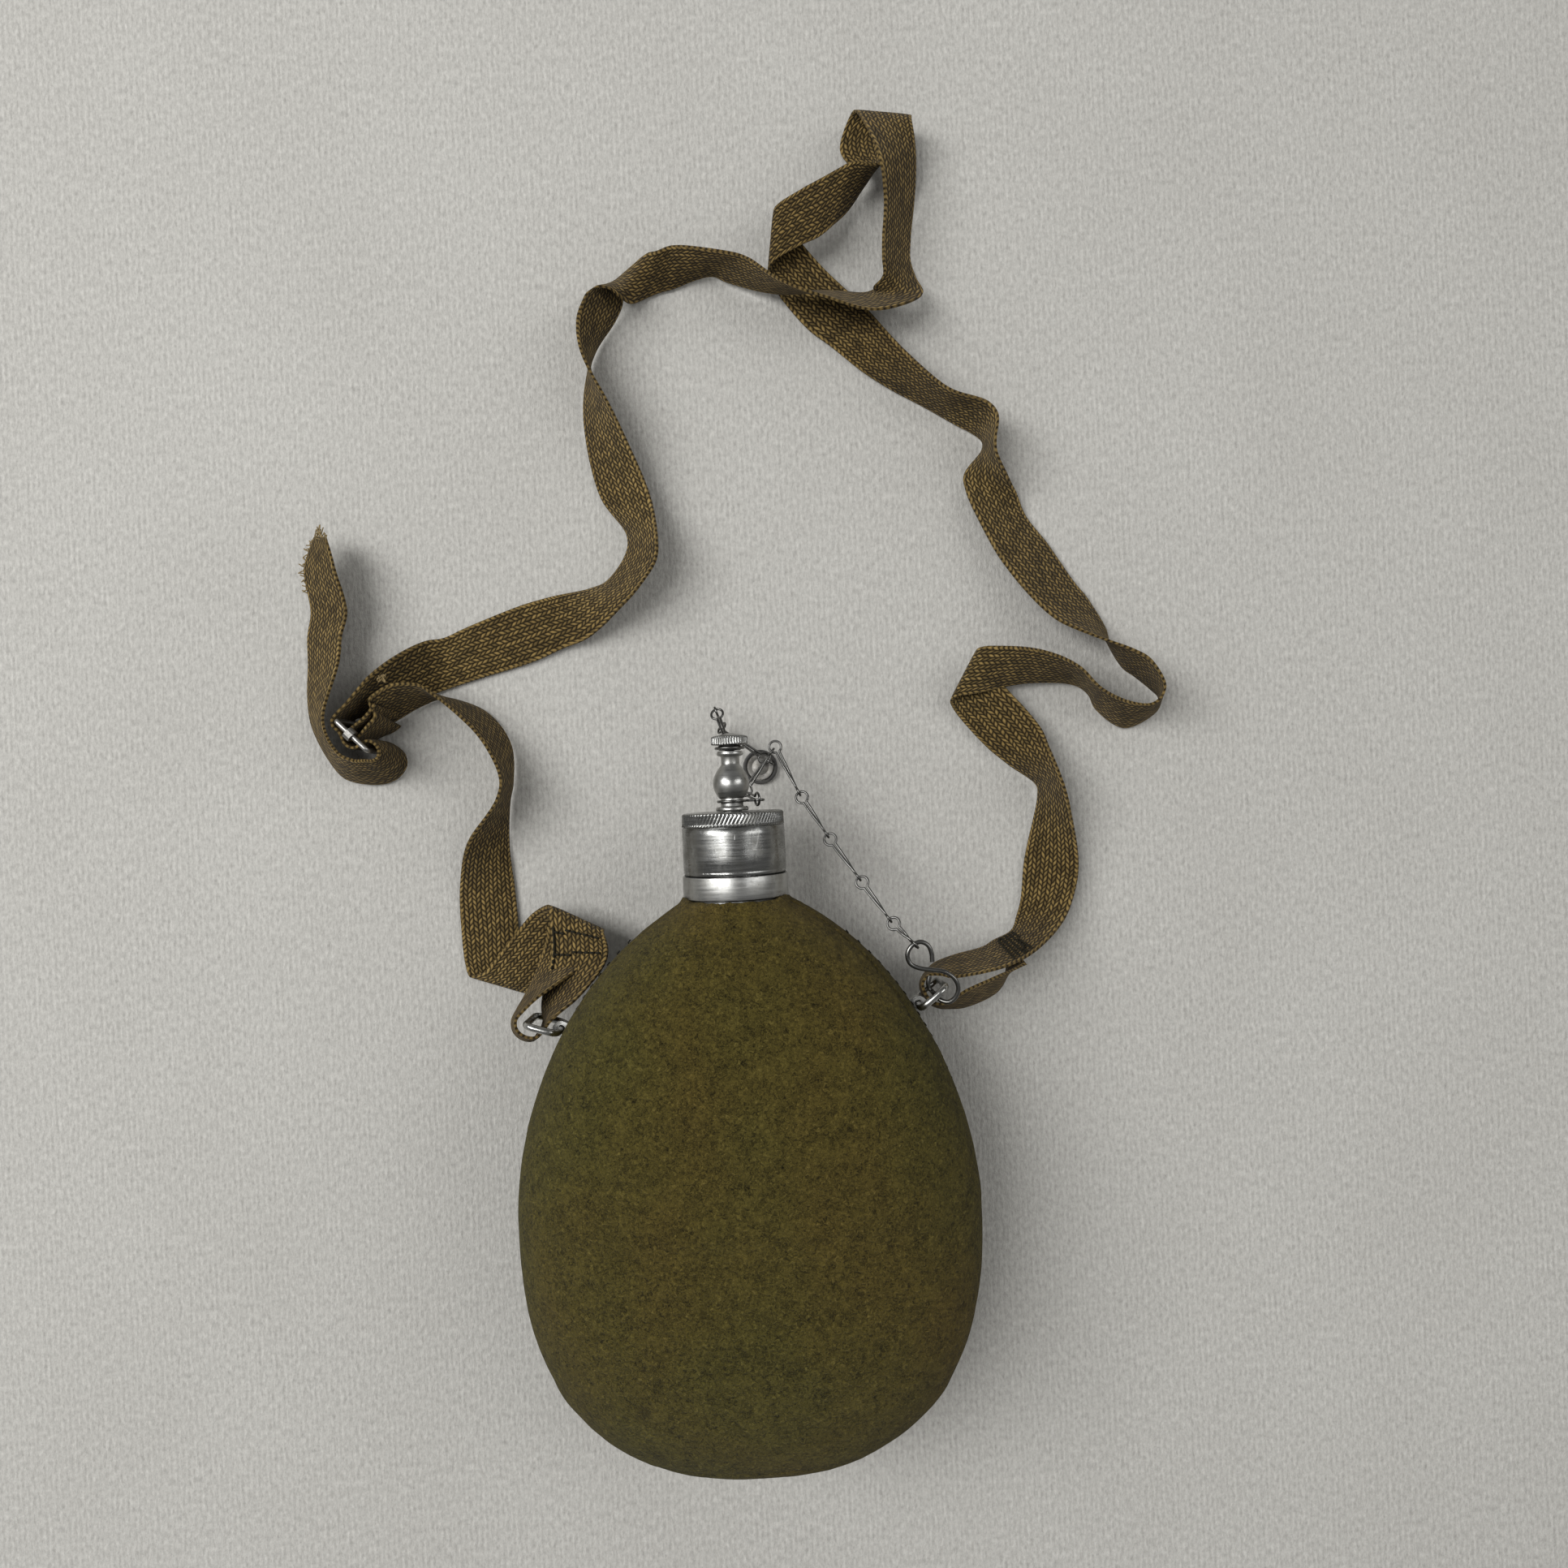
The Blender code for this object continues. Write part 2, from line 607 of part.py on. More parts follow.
# Rings on the spout and the plug: each is one wire with a big eye and a small tail eye
RING_RADIUS = SPOUT_STEM_RADIUS + GAP + 0.5
RING_WIRE = 0.45
TAIL_RADIUS = 1.5


def ring_with_tail(name, y, tail):
    """tail is the centre of the small eye."""
    centre = Vector((0.0, y, AXIS_Z))
    to_tail = (Vector(tail) - centre).normalized()
    across = to_tail.cross(Vector(Y_AXIS))
    start = centre - to_tail * RING_RADIUS
    end = Vector(tail) + to_tail * TAIL_RADIUS
    run = eye_loop(start, end, across, across, RING_RADIUS, TAIL_RADIUS, 0.0, 0.0, 18, 9)
    wire(name, run, RING_WIRE, STEEL, 6)


ring_with_tail("cap_ring", CAP_RING_Y, (8.5, CAP_RING_Y, 34.65))
PLUG_RING_Y = plug_low + 0.7
PLUG_RING_TAIL = (-0.3, PLUG_RING_Y, 29.6)
ring_with_tail("plug_ring", PLUG_RING_Y, (-0.3, PLUG_RING_Y, 30.5))

PLUG_CHAIN_EYE = (-4.7, 158.3, 20.7)
PLUG_CHAIN_LOW = (-3.6, 152.7, 5.7)
DISC_HOOK = (11.6, 141.4, 3.9)
EYE_SIDE = (0.94, 0.34, 0.0)
LOW_SIDE = (0.566, 0.824, 0.0)

side = crossing(PLUG_CHAIN_EYE, PLUG_RING_TAIL, X_AXIS)
run = eye_loop(PLUG_CHAIN_EYE, PLUG_RING_TAIL, EYE_SIDE, side,
               EYE_RADIUS, HAIRPIN_RADIUS, HOOK_REACH, 0.75)
wire("plug_link_1", run, WIRE, STEEL, 5)
side = crossing(PLUG_CHAIN_LOW, PLUG_CHAIN_EYE, EYE_SIDE)
run = eye_loop(PLUG_CHAIN_LOW, PLUG_CHAIN_EYE, LOW_SIDE, side,
               EYE_RADIUS, HAIRPIN_RADIUS, HOOK_REACH, 0.75)
wire("plug_link_2", run, WIRE, STEEL, 5)
side = steep_side(DISC_HOOK, PLUG_CHAIN_LOW)
run = eye_loop(DISC_HOOK, PLUG_CHAIN_LOW, flat_side(DISC_HOOK, PLUG_CHAIN_LOW), side,
               EYE_RADIUS, HAIRPIN_RADIUS, HOOK_REACH, 0.8)
wire("plug_link_3", run, WIRE, STEEL, 5)

# S-hook: one bent wire, its low hook under the right shoulder link's top bar.
# Its points are measured from that link's inner bar.
S_HOOK = (
    (2.82, 10.40, 10.10), (2.32, 8.00, 9.90), (2.72, 6.40, 8.90), (3.72, 5.10, 7.10),
    (4.82, 3.80, 6.50), (6.22, 2.20, 6.90), (8.82, 1.60, 8.30), (10.92, 3.40, 9.50),
    (11.72, 6.40, 10.30), (10.52, 9.40, 10.70), (7.62, 11.60, 10.90), (3.82, 12.40, 11.10),
    (-0.58, 13.30, 11.30), (-3.18, 14.80, 11.50), (-3.98, 17.60, 11.70), (-2.58, 20.30, 11.80),
    (0.22, 21.50, 11.70), (2.52, 20.40, 11.50), (3.62, 18.00, 11.30), (3.82, 15.00, 11.10),
)
hook_line = [RIGHT_PIVOT + Vector(p) for p in S_HOOK]
wire("s_hook", spline(hook_line, 2.4), HOOK_WIRE, STEEL, 7, closed=False)


# Shoulder links: one on each side, an upright flat ring whose inner bar turns in the lug
LUG_HOLE = LINK_STOCK + 0.35
LUG_ARCH = LUG_HOLE + 1.2
LUG_HEIGHT = 3.0
SLIT_HALF = 4.4
SLIT_HEIGHT = 4.2


def shoulder(name, y, side, bearing):
    normal = outline_normal(y, side)
    along = Vector((0.0, 0.0, 1.0)).cross(normal)
    pivot = pivot_of(y, side)
    out = Vector((math.cos(math.radians(bearing)), math.sin(math.radians(bearing)), 0.0))
    corner = 3.0
    far = LINK_REACH - corner
    high = LINK_HALF_HEIGHT - corner
    points = []
    bends = ((far, high, 0.0), (corner, high, 90.0), (corner, -high, 180.0), (far, -high, 270.0))
    for cx, cz, start in bends:
        for k in range(5):
            angle = math.radians(start + 22.5 * k)
            rise = Vector((0.0, 0.0, cz + corner * math.sin(angle)))
            points.append(pivot + out * (cx + corner * math.cos(angle)) + rise)
    wire("shoulder_link_" + name, points, LINK_STOCK, ALUMINIUM, 8)

    # Lug: an arch on a foot plate that sits on the flask inside the cover's slit
    plate = -PIVOT_OUT - COVER_THICKNESS - GAP + 0.45
    shape = [(-3.6, plate), (3.6, plate), (3.6, plate + 1.2), (LUG_ARCH, plate + 1.9)]
    for k in range(13):
        angle = math.pi * k / 12
        shape.append((LUG_ARCH * math.cos(angle), LUG_ARCH * math.sin(angle)))
    shape += [(-LUG_ARCH, plate + 1.9), (-3.6, plate + 1.2)]
    verts = []
    for dz in (-LUG_HEIGHT / 2, LUG_HEIGHT / 2):
        for t, n in shape:
            verts.append(pivot + along * t + normal * n + Vector((0.0, 0.0, dz)))
    count = len(shape)
    faces = [tuple(range(count)), tuple(range(count, 2 * count))]
    for i in range(count):
        j = (i + 1) % count
        faces.append((i, j, count + j, count + i))
    lug = solid("lug_" + name, verts, faces, ALUMINIUM)
    hole = []
    for dz in (-LUG_HEIGHT, LUG_HEIGHT):
        for k in range(20):
            angle = 2.0 * math.pi * k / 20
            hole.append(pivot + along * LUG_HOLE * math.cos(angle) + normal * LUG_HOLE * math.sin(angle)
                        + Vector((0.0, 0.0, dz)))
    sides = [tuple(range(20)), tuple(range(20, 40))]
    for k in range(20):
        m = (k + 1) % 20
        sides.append((k, m, 20 + m, 20 + k))
    combine(lug, solid("hole", hole, sides, ALUMINIUM), "DIFFERENCE")

    # Slit: the cover is open here so the lug can stand through it
    slit = []
    for dz in (-SLIT_HEIGHT / 2, SLIT_HEIGHT / 2):
        for t, n in ((-SLIT_HALF, -8.0), (SLIT_HALF, -8.0), (SLIT_HALF, 3.0), (-SLIT_HALF, 3.0)):
            slit.append(pivot + along * t + normal * n + Vector((0.0, 0.0, dz)))
    box = [(0, 1, 2, 3), (4, 5, 6, 7), (0, 1, 5, 4), (1, 2, 6, 5), (2, 3, 7, 6), (3, 0, 4, 7)]
    combine(cover_back, solid("slit", slit, box, FELT), "DIFFERENCE")


shoulder("right", RIGHT_LINK_Y, 1.0, 38.1)
shoulder("left", LEFT_LINK_Y, -1.0, 162.8)

# Disc at the end of the plug chain: a rim, the plate inside it and the wire eye on top
DISC_CENTRE = (8.8, 139.3)
DISC_RADIUS = 6.0
DISC_LOW = 0.3
RIM_HEIGHT = 1.0
FACE_LOW = 0.4
FACE_HEIGHT = 0.9


def disc(name, profile, look):
    """Revolve (radius, z) points about the disc's own upright axis."""
    segments = 24
    verts = []
    for radius, z in profile:
        for i in range(segments):
            angle = 2.0 * math.pi * i / segments
            x = DISC_CENTRE[0] + radius * math.cos(angle)
            y = DISC_CENTRE[1] + radius * math.sin(angle)
            verts.append((x, y, z))
    faces = []
    count = len(profile)
    for k in range(count):
        m = (k + 1) % count
        for i in range(segments):
            j = (i + 1) % segments
            faces.append((k * segments + i, k * segments + j, m * segments + j, m * segments + i))
    return solid(name, verts, faces, look)


rim_inside = DISC_RADIUS - 1.1
disc("disc_rim", [
    (rim_inside, DISC_LOW), (DISC_RADIUS, DISC_LOW), (DISC_RADIUS, DISC_LOW + RIM_HEIGHT - 0.3),
    (DISC_RADIUS - 0.3, DISC_LOW + RIM_HEIGHT), (rim_inside, DISC_LOW + RIM_HEIGHT),
], RUBBER)
face_radius = rim_inside - GAP
plate = []
for z in (FACE_LOW, FACE_LOW + FACE_HEIGHT):
    for i in range(24):
        angle = 2.0 * math.pi * i / 24
        x = DISC_CENTRE[0] + face_radius * math.cos(angle)
        y = DISC_CENTRE[1] + face_radius * math.sin(angle)
        plate.append((x, y, z))
plate_faces = [tuple(range(24)), tuple(range(24, 48))]
for i in range(24):
    j = (i + 1) % 24
    plate_faces.append((i, j, 24 + j, 24 + i))
solid("disc_face", plate, plate_faces, STEEL)
DISC_EYE_WIRE = 0.4
eye_run = (Vector(DISC_HOOK) - Vector(PLUG_CHAIN_LOW))
eye_run.z = 0.0
eye_run.normalize()
eye_base = FACE_LOW + FACE_HEIGHT + GAP + DISC_EYE_WIRE
eye_top = DISC_HOOK[2] + 1.3
eye_mid = Vector((DISC_HOOK[0], DISC_HOOK[1], 0.0)) + eye_run * 0.75
eye_points = []
for t, z in ((-1.4, eye_base), (-1.4, eye_top - 1.0), (-0.9, eye_top - 0.25), (0.0, eye_top),
             (0.9, eye_top - 0.25), (1.4, eye_top - 1.0), (1.4, eye_base)):
    eye_points.append(eye_mid + eye_run * t + Vector((0.0, 0.0, z)))
wire("disc_eye", eye_points, DISC_EYE_WIRE, STEEL, 6, closed=True)

# Buckle: a bent wire frame standing on its side and the bar across its middle
BUCKLE_CENTRE = Vector((-125.1, 155.35, 0.0))
BUCKLE_ALONG = Vector((0.692, -0.722, 0.0))
BUCKLE_REACH = 7.05
BUCKLE_LOW = 0.95
BUCKLE_HIGH = 23.1
BAR_SHIFT = -0.75
frame_points = []
corner = 1.2
reach = BUCKLE_REACH - corner
high = BUCKLE_HIGH - corner
low = BUCKLE_LOW + corner
for cs, cz, start in ((reach, high, 0.0), (-reach, high, 90.0), (-reach, low, 180.0), (reach, low, 270.0)):
    for k in range(4):
        angle = math.radians(start + 30.0 * k)
        frame_points.append(BUCKLE_CENTRE + BUCKLE_ALONG * (cs + corner * math.cos(angle))
                            + Vector((0.0, 0.0, cz + corner * math.sin(angle))))
wire("buckle_frame", frame_points, BUCKLE_WIRE, STEEL, 8)

bar_foot = BUCKLE_CENTRE + BUCKLE_ALONG * BAR_SHIFT
collar_bore = BUCKLE_WIRE + GAP
collar_outer = 2.15
collar_half = 1.25
bar_low = BUCKLE_LOW + (collar_bore + collar_outer) / 2.0
bar_high = BUCKLE_HIGH - (collar_bore + collar_outer) / 2.0
bar_points = [bar_foot + Vector((0.0, 0.0, z)) for z in (bar_low, (bar_low + bar_high) / 2.0, bar_high)]
bar = wire("buckle_bar", bar_points, BUCKLE_WIRE, STEEL, 10, closed=False)
across = Vector((0.0, 0.0, 1.0)).cross(BUCKLE_ALONG).normalized()
for rail in (BUCKLE_LOW, BUCKLE_HIGH):
    verts = []
    for radius, along in ((collar_bore, -collar_half), (collar_outer, -collar_half),
                          (collar_outer, collar_half), (collar_bore, collar_half)):
        for k in range(16):
            angle = 2.0 * math.pi * k / 16
            verts.append(bar_foot + BUCKLE_ALONG * along + across * radius * math.cos(angle)
                         + Vector((0.0, 0.0, rail + radius * math.sin(angle))))
    faces = []
    for r in range(4):
        for k in range(16):
            m = (k + 1) % 16
            n = (r + 1) % 4
            faces.append((16 * r + k, 16 * r + m, 16 * n + m, 16 * n + k))
    combine(bar, solid("collar", verts, faces, STEEL), "UNION")


# Strap: two pieces of woven tape. Each row is one place along the tape, as it lies in the photograph:
# the first three numbers are the point on one selvage, the last three the point on the other.
# The rows of a loop round a shoulder link are measured from that link's inner bar.
RIGHT_LOOP = (
    (37.32, 9.60, -9.50, 34.22, 15.60, -26.00),
    (32.82, 8.70, -6.00, 33.32, 7.10, -23.00),
    (27.22, 7.80, -1.50, 29.22, 0.20, -17.50),
    (15.12, 4.10, 4.00, 16.62, -3.90, -11.50),
    (9.92, 1.60, 4.80, 10.82, -3.70, -9.00),
    (6.22, 0.50, 4.90, 7.52, -2.80, -6.60),
    (3.42, 1.90, 4.90, 4.62, -1.30, -6.60),
    (1.52, 4.60, 4.90, 2.62, 1.80, -6.60),
    (1.12, 7.50, 4.90, 1.62, 4.70, -6.60),
    (3.02, 9.70, 4.90, 2.92, 8.10, -6.90),
    (6.92, 9.80, 4.80, 6.72, 11.20, -9.50),
    (11.42, 8.60, 4.00, 13.12, 13.00, -12.00),
)
LONG_RUN = (
    (82.2, 69.7, 30.0, 81.6, 74.7, 13.0),
    (89.3, 70.9, 26.0, 85.7, 76.4, 10.5),
    (99.2, 74.6, 19.5, 92.5, 78.6, 6.0),
    (109.7, 82.7, 12.0, 95.5, 83.0, 1.8),
    (114.4, 91.3, 9.0, 97.6, 89.7, 1.2),
    (116.4, 101.8, 8.5, 99.3, 102.6, 1.2),
    (111.2, 124.9, 17.6, 105.0, 124.5, 1.7),
    (109.5, 130.7, 18.8, 104.6, 129.0, 2.0),
    (106.6, 141.8, 14.5, 95.3, 136.2, 2.0),
    (105.5, 147.5, 10.5, 89.3, 141.3, 2.0),
    (101.6, 154.0, 8.0, 83.6, 147.5, 2.0),
    (89.5, 168.4, 8.0, 76.7, 156.2, 3.6),
    (84.5, 175.0, 11.5, 75.7, 158.9, 5.6),
    (85.9, 176.2, 15.0, 77.4, 160.3, 8.0),
    (90.7, 176.0, 17.0, 82.3, 160.9, 8.8),
    (105.6, 173.4, 19.5, 102.8, 164.2, 4.5),
    (117.2, 167.1, 20.5, 119.8, 162.9, 1.6),
    (121.7, 161.7, 20.8, 124.5, 159.3, 1.3),
    (125.2, 158.9, 20.5, 126.6, 154.4, 1.2),
    (133.6, 155.1, 19.0, 136.5, 147.4, 1.2),
    (141.0, 154.4, 20.2, 147.8, 152.8, 1.2),
    (143.9, 156.9, 20.8, 148.8, 157.0, 1.2),
    (144.9, 160.6, 20.8, 146.4, 160.0, 1.2),
    (140.2, 169.0, 20.8, 140.4, 165.4, 1.2),
    (136.0, 171.8, 20.8, 136.9, 168.1, 1.2),
    (127.3, 175.5, 20.6, 132.7, 175.6, 1.2),
    (122.2, 177.7, 19.9, 131.2, 181.9, 1.3),
    (111.7, 184.0, 15.4, 125.0, 192.9, 1.8),
    (104.8, 191.2, 13.0, 120.9, 198.5, 1.7),
    (95.5, 204.3, 10.5, 112.7, 211.9, 1.2),
    (89.2, 217.2, 8.0, 105.3, 222.2, 1.4),
    (84.2, 231.0, 5.0, 101.2, 230.9, 5.0),
    (84.6, 238.2, 1.3, 97.6, 234.2, 11.6),
    (91.1, 246.1, 1.3, 92.5, 241.5, 19.0),
    (91.5, 248.9, 1.3, 92.4, 245.3, 20.2),
    (87.1, 252.8, 1.3, 94.0, 253.8, 17.0),
    (83.6, 254.8, 1.2, 91.5, 258.2, 15.9),
    (74.1, 260.7, 1.2, 78.1, 263.0, 17.6),
    (53.1, 273.6, 1.2, 64.7, 277.8, 12.8),
    (39.6, 285.0, 1.3, 54.3, 294.6, 4.0),
    (32.7, 290.6, 1.4, 50.1, 299.8, 2.6),
    (24.1, 301.0, 1.8, 41.1, 308.2, 3.8),
    (21.1, 305.5, 2.7, 36.0, 313.1, 5.7),
    (19.1, 307.2, 3.9, 29.7, 319.6, 8.7),
    (19.5, 309.6, 7.3, 22.8, 325.3, 12.7),
    (21.3, 311.1, 10.5, 22.9, 327.0, 16.1),
    (31.1, 315.1, 13.4, 31.3, 331.6, 17.6),
    (37.0, 317.6, 13.0, 37.1, 334.8, 17.0),
    (42.2, 322.5, 10.7, 43.9, 338.3, 16.8),
    (47.5, 329.3, 5.9, 49.8, 339.6, 19.1),
    (52.3, 336.8, 3.1, 53.9, 338.3, 19.9),
    (55.3, 341.7, 2.5, 57.9, 338.4, 18.9),
    (53.6, 345.8, 1.8, 61.4, 341.7, 16.8),
    (48.9, 347.9, 1.6, 63.4, 347.2, 13.0),
    (46.3, 352.9, 2.0, 64.1, 353.9, 8.4),
    (48.1, 358.8, 4.4, 65.8, 358.2, 7.6),
    (50.9, 362.0, 8.4, 69.9, 358.3, 11.0),
    (53.1, 356.2, 14.6, 70.1, 354.9, 14.0),
    (57.6, 339.1, 22.6, 71.4, 345.7, 10.0),
    (59.2, 327.6, 19.6, 71.1, 334.9, 4.0),
    (58.1, 313.5, 18.1, 69.3, 320.5, 1.7),
    (57.9, 307.3, 18.0, 68.8, 313.2, 2.4),
    (58.1, 302.8, 15.9, 70.2, 306.0, 4.5),
    (55.0, 300.5, 12.5, 71.7, 298.0, 10.0),
    (55.0, 301.3, 6.7, 61.4, 290.8, 18.4),
    (51.3, 300.6, 6.6, 53.1, 289.4, 20.5),
    (37.9, 301.9, 6.5, 38.7, 292.0, 24.9),
    (23.3, 301.7, 6.4, 24.6, 298.0, 24.8),
    (5.0, 308.3, 2.2, 12.6, 308.9, 19.0),
    (-0.0, 311.0, 1.6, 8.3, 310.9, 18.6),
    (-14.6, 307.2, 1.2, -9.3, 315.9, 14.9),
    (-19.7, 306.0, 1.2, -13.8, 316.7, 13.1),
    (-24.0, 304.1, 1.9, -17.9, 315.2, 13.3),
    (-28.2, 300.7, 6.0, -21.7, 315.6, 11.0),
    (-31.0, 300.0, 13.4, -27.3, 314.3, 5.0),
    (-34.1, 301.7, 17.2, -33.3, 310.6, 2.8),
    (-37.7, 301.1, 20.4, -35.8, 309.3, 1.4),
    (-41.1, 299.6, 19.9, -32.4, 307.1, 2.3),
    (-43.4, 296.3, 18.9, -31.8, 302.7, 2.5),
    (-45.1, 291.6, 18.6, -34.5, 297.3, 1.5),
    (-44.2, 280.1, 19.6, -42.0, 286.7, 1.3),
    (-37.0, 264.7, 19.1, -46.5, 271.2, 1.6),
    (-30.6, 250.0, 14.5, -46.5, 254.0, 1.4),
    (-24.3, 232.7, 11.6, -42.3, 235.4, 1.3),
    (-21.9, 216.6, 17.8, -33.8, 222.0, 1.3),
    (-22.8, 209.8, 18.0, -34.3, 215.7, 1.5),
    (-29.7, 200.2, 17.4, -41.6, 206.2, 1.3),
    (-34.6, 195.9, 15.0, -46.8, 204.2, 1.3),
    (-48.6, 186.4, 5.6, -58.8, 202.3, 1.3),
    (-57.7, 183.6, 2.6, -64.0, 201.3, 1.3),
    (-68.3, 179.6, 1.4, -72.6, 199.1, 1.3),
    (-86.7, 174.8, 1.3, -91.0, 192.6, 1.3),
    (-95.3, 172.4, 1.3, -99.0, 189.1, 2.6),
    (-101.9, 170.4, 1.4, -104.8, 187.8, 6.0),
    (-112.7, 166.6, 1.8, -112.5, 181.4, 16.4),
    (-122.2, 164.6, 3.0, -119.4, 174.8, 21.2),
    (-125.9, 163.6, 2.0, -123.4, 170.6, 21.0),
    (-128.7, 162.9, 2.2, -127.4, 166.0, 21.6),
    (-131.0, 162.6, 2.3, -130.6, 163.0, 21.8),
    (-132.2, 160.9, 2.3, -132.1, 161.0, 21.8),
    (-131.8, 158.8, 2.3, -131.8, 158.8, 21.8),
    (-130.2, 157.4, 2.3, -130.2, 157.4, 21.8),
    (-129.2, 155.6, 2.3, -129.2, 155.6, 21.8),
    (-128.4, 153.4, 2.3, -128.4, 153.4, 21.8),
    (-126.4, 151.6, 2.3, -126.4, 151.6, 21.8),
    (-124.2, 151.7, 2.3, -124.2, 151.7, 21.8),
    (-122.5, 152.9, 2.3, -122.5, 153.0, 21.8),
    (-120.5, 153.6, 2.3, -120.6, 153.6, 21.8),
    (-117.8, 152.4, 2.3, -118.4, 152.6, 21.8),
    (-114.9, 149.4, 1.4, -117.2, 150.4, 21.4),
    (-114.4, 145.4, 1.3, -117.8, 148.0, 20.8),
    (-117.6, 141.4, 1.3, -119.8, 147.0, 20.6),
    (-123.0, 139.6, 1.3, -122.3, 147.2, 20.4),
    (-132.8, 140.7, 2.4, -126.3, 147.6, 20.6),
    (-137.9, 143.9, 2.1, -130.7, 149.8, 20.4),
    (-146.4, 161.1, 2.3, -135.6, 160.9, 19.8),
    (-146.4, 183.1, 2.5, -130.9, 181.5, 15.8),
    (-146.2, 191.6, 2.5, -130.1, 189.7, 15.1),
    (-144.2, 199.8, 3.4, -127.8, 197.5, 15.4),
    (-144.9, 213.9, 6.4, -129.8, 211.1, 18.4),
    (-142.1, 219.9, 8.4, -131.1, 217.1, 18.6),
    (-139.5, 224.5, 9.6, -132.9, 222.5, 17.6),
)
LEFT_LOOP = (
    (-6.76, 30.93, -17.90, 12.74, 26.33, -12.90),
    (-7.26, 26.23, -16.50, 11.34, 22.43, -10.10),
    (-11.16, 14.43, -13.10, -0.96, 14.33, -0.90),
    (-13.96, 8.93, -11.10, -7.26, 10.23, 2.50),
    (-16.16, 5.03, -9.10, -10.86, 7.13, 4.50),
    (-17.36, 1.83, -6.90, -13.46, 4.23, 4.90),
    (-16.96, -1.87, -6.90, -13.16, 0.93, 4.90),
    (-14.36, -4.37, -6.90, -10.36, -1.27, 4.90),
    (-11.16, -4.87, -6.90, -7.26, -1.47, 4.90),
    (-8.96, -2.47, -6.60, -4.86, 0.53, 4.90),
    (-7.06, 1.03, -6.30, -3.16, 2.73, 4.90),
    (-7.36, 5.23, -6.80, 0.44, 5.83, 4.50),
    (-7.06, 9.93, -8.10, 6.04, 9.93, 2.50),
    (-4.66, 19.43, -10.10, 14.24, 19.43, -3.10),
    (-4.26, 24.63, -11.30, 15.34, 23.53, -4.90),
    (-5.06, 36.33, -13.70, 13.64, 29.03, -9.10),
    (-5.66, 38.33, -16.30, 12.74, 29.63, -13.10),
)
SHORT_RUN = (
    (-70.5, 93.1, 9.9, -52.1, 84.1, 12.3),
    (-75.2, 88.7, 8.0, -58.3, 79.3, 10.0),
    (-85.5, 77.0, 5.4, -70.5, 69.0, 6.2),
    (-90.1, 72.4, 4.4, -74.4, 66.0, 4.6),
    (-95.3, 71.2, 2.6, -76.4, 64.9, 2.6),
    (-96.9, 74.7, 1.3, -78.2, 69.6, 1.3),
    (-97.8, 86.6, 1.2, -78.0, 86.3, 1.2),
    (-97.2, 102.6, 3.0, -78.7, 101.6, 1.2),
    (-91.0, 117.6, 14.0, -79.9, 115.8, 1.2),
    (-78.8, 132.2, 20.8, -79.1, 131.4, 1.2),
    (-77.1, 138.3, 21.0, -77.7, 137.6, 1.2),
    (-81.7, 150.2, 21.0, -77.9, 151.2, 1.2),
    (-90.7, 161.1, 20.6, -86.7, 163.2, 1.2),
    (-99.1, 168.7, 21.4, -100.9, 168.1, 1.4),
    (-103.2, 171.5, 21.4, -107.1, 166.4, 1.8),
    (-112.6, 171.7, 21.0, -115.5, 161.9, 3.0),
    (-116.7, 169.7, 21.2, -119.3, 159.8, 3.2),
    (-119.7, 167.2, 21.2, -122.5, 157.7, 3.2),
    (-117.7, 161.5, 22.0, -115.6, 159.3, 2.2),
    (-120.1, 158.8, 21.8, -118.6, 157.2, 2.0),
    (-122.2, 156.7, 21.2, -121.7, 156.1, 2.7),
    (-123.9, 155.0, 20.9, -123.9, 155.0, 3.1),
    (-125.7, 154.0, 20.9, -125.7, 154.0, 3.1),
    (-127.0, 154.6, 20.9, -127.0, 154.6, 3.1),
    (-127.5, 156.0, 20.9, -127.5, 156.0, 3.1),
    (-126.6, 157.5, 20.9, -126.6, 157.5, 3.1),
    (-124.5, 159.1, 21.2, -124.0, 158.6, 2.7),
    (-122.3, 160.5, 21.7, -121.2, 159.3, 2.0),
    (-119.8, 162.8, 21.9, -118.0, 160.9, 2.2),
    (-117.7, 165.5, 22.0, -114.9, 162.6, 2.3),
)


def at_link(pivot, rows):
    shift = (*pivot, *pivot)
    return [tuple(c + s for c, s in zip(row, shift)) for row in rows]


def band(name, rows):
    """A flat tape through the two selvage lines."""
    stations = spline(rows, TAPE_STEP)
    mids = []
    for s in stations:
        mids.append((Vector(s[0:3]) + Vector(s[3:6])) / 2.0)
    verts = []
    for i, s in enumerate(stations):
        first = Vector(s[0:3])
        second = Vector(s[3:6])
        tangent = mids[min(i + 1, len(mids) - 1)] - mids[max(i - 1, 0)]
        normal = tangent.cross(second - first).normalized() * (TAPE_THICKNESS / 2.0)
        verts += [first - normal, second - normal, second + normal, first + normal]
    faces = [(0, 1, 2, 3)]
    for i in range(len(stations) - 1):
        for k in range(4):
            m = (k + 1) % 4
            faces.append((4 * i + k, 4 * i + m, 4 * i + 4 + m, 4 * i + 4 + k))
    last = 4 * (len(stations) - 1)
    faces.append((last, last + 1, last + 2, last + 3))
    return solid(name, verts, faces, TAPE)


TAPE_STEP = 6.0
band("strap_long", at_link(RIGHT_PIVOT, RIGHT_LOOP) + list(LONG_RUN))
band("strap_left", at_link(LEFT_PIVOT, LEFT_LOOP) + list(SHORT_RUN))
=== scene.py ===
import math

import bmesh
import bpy
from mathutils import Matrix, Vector, noise


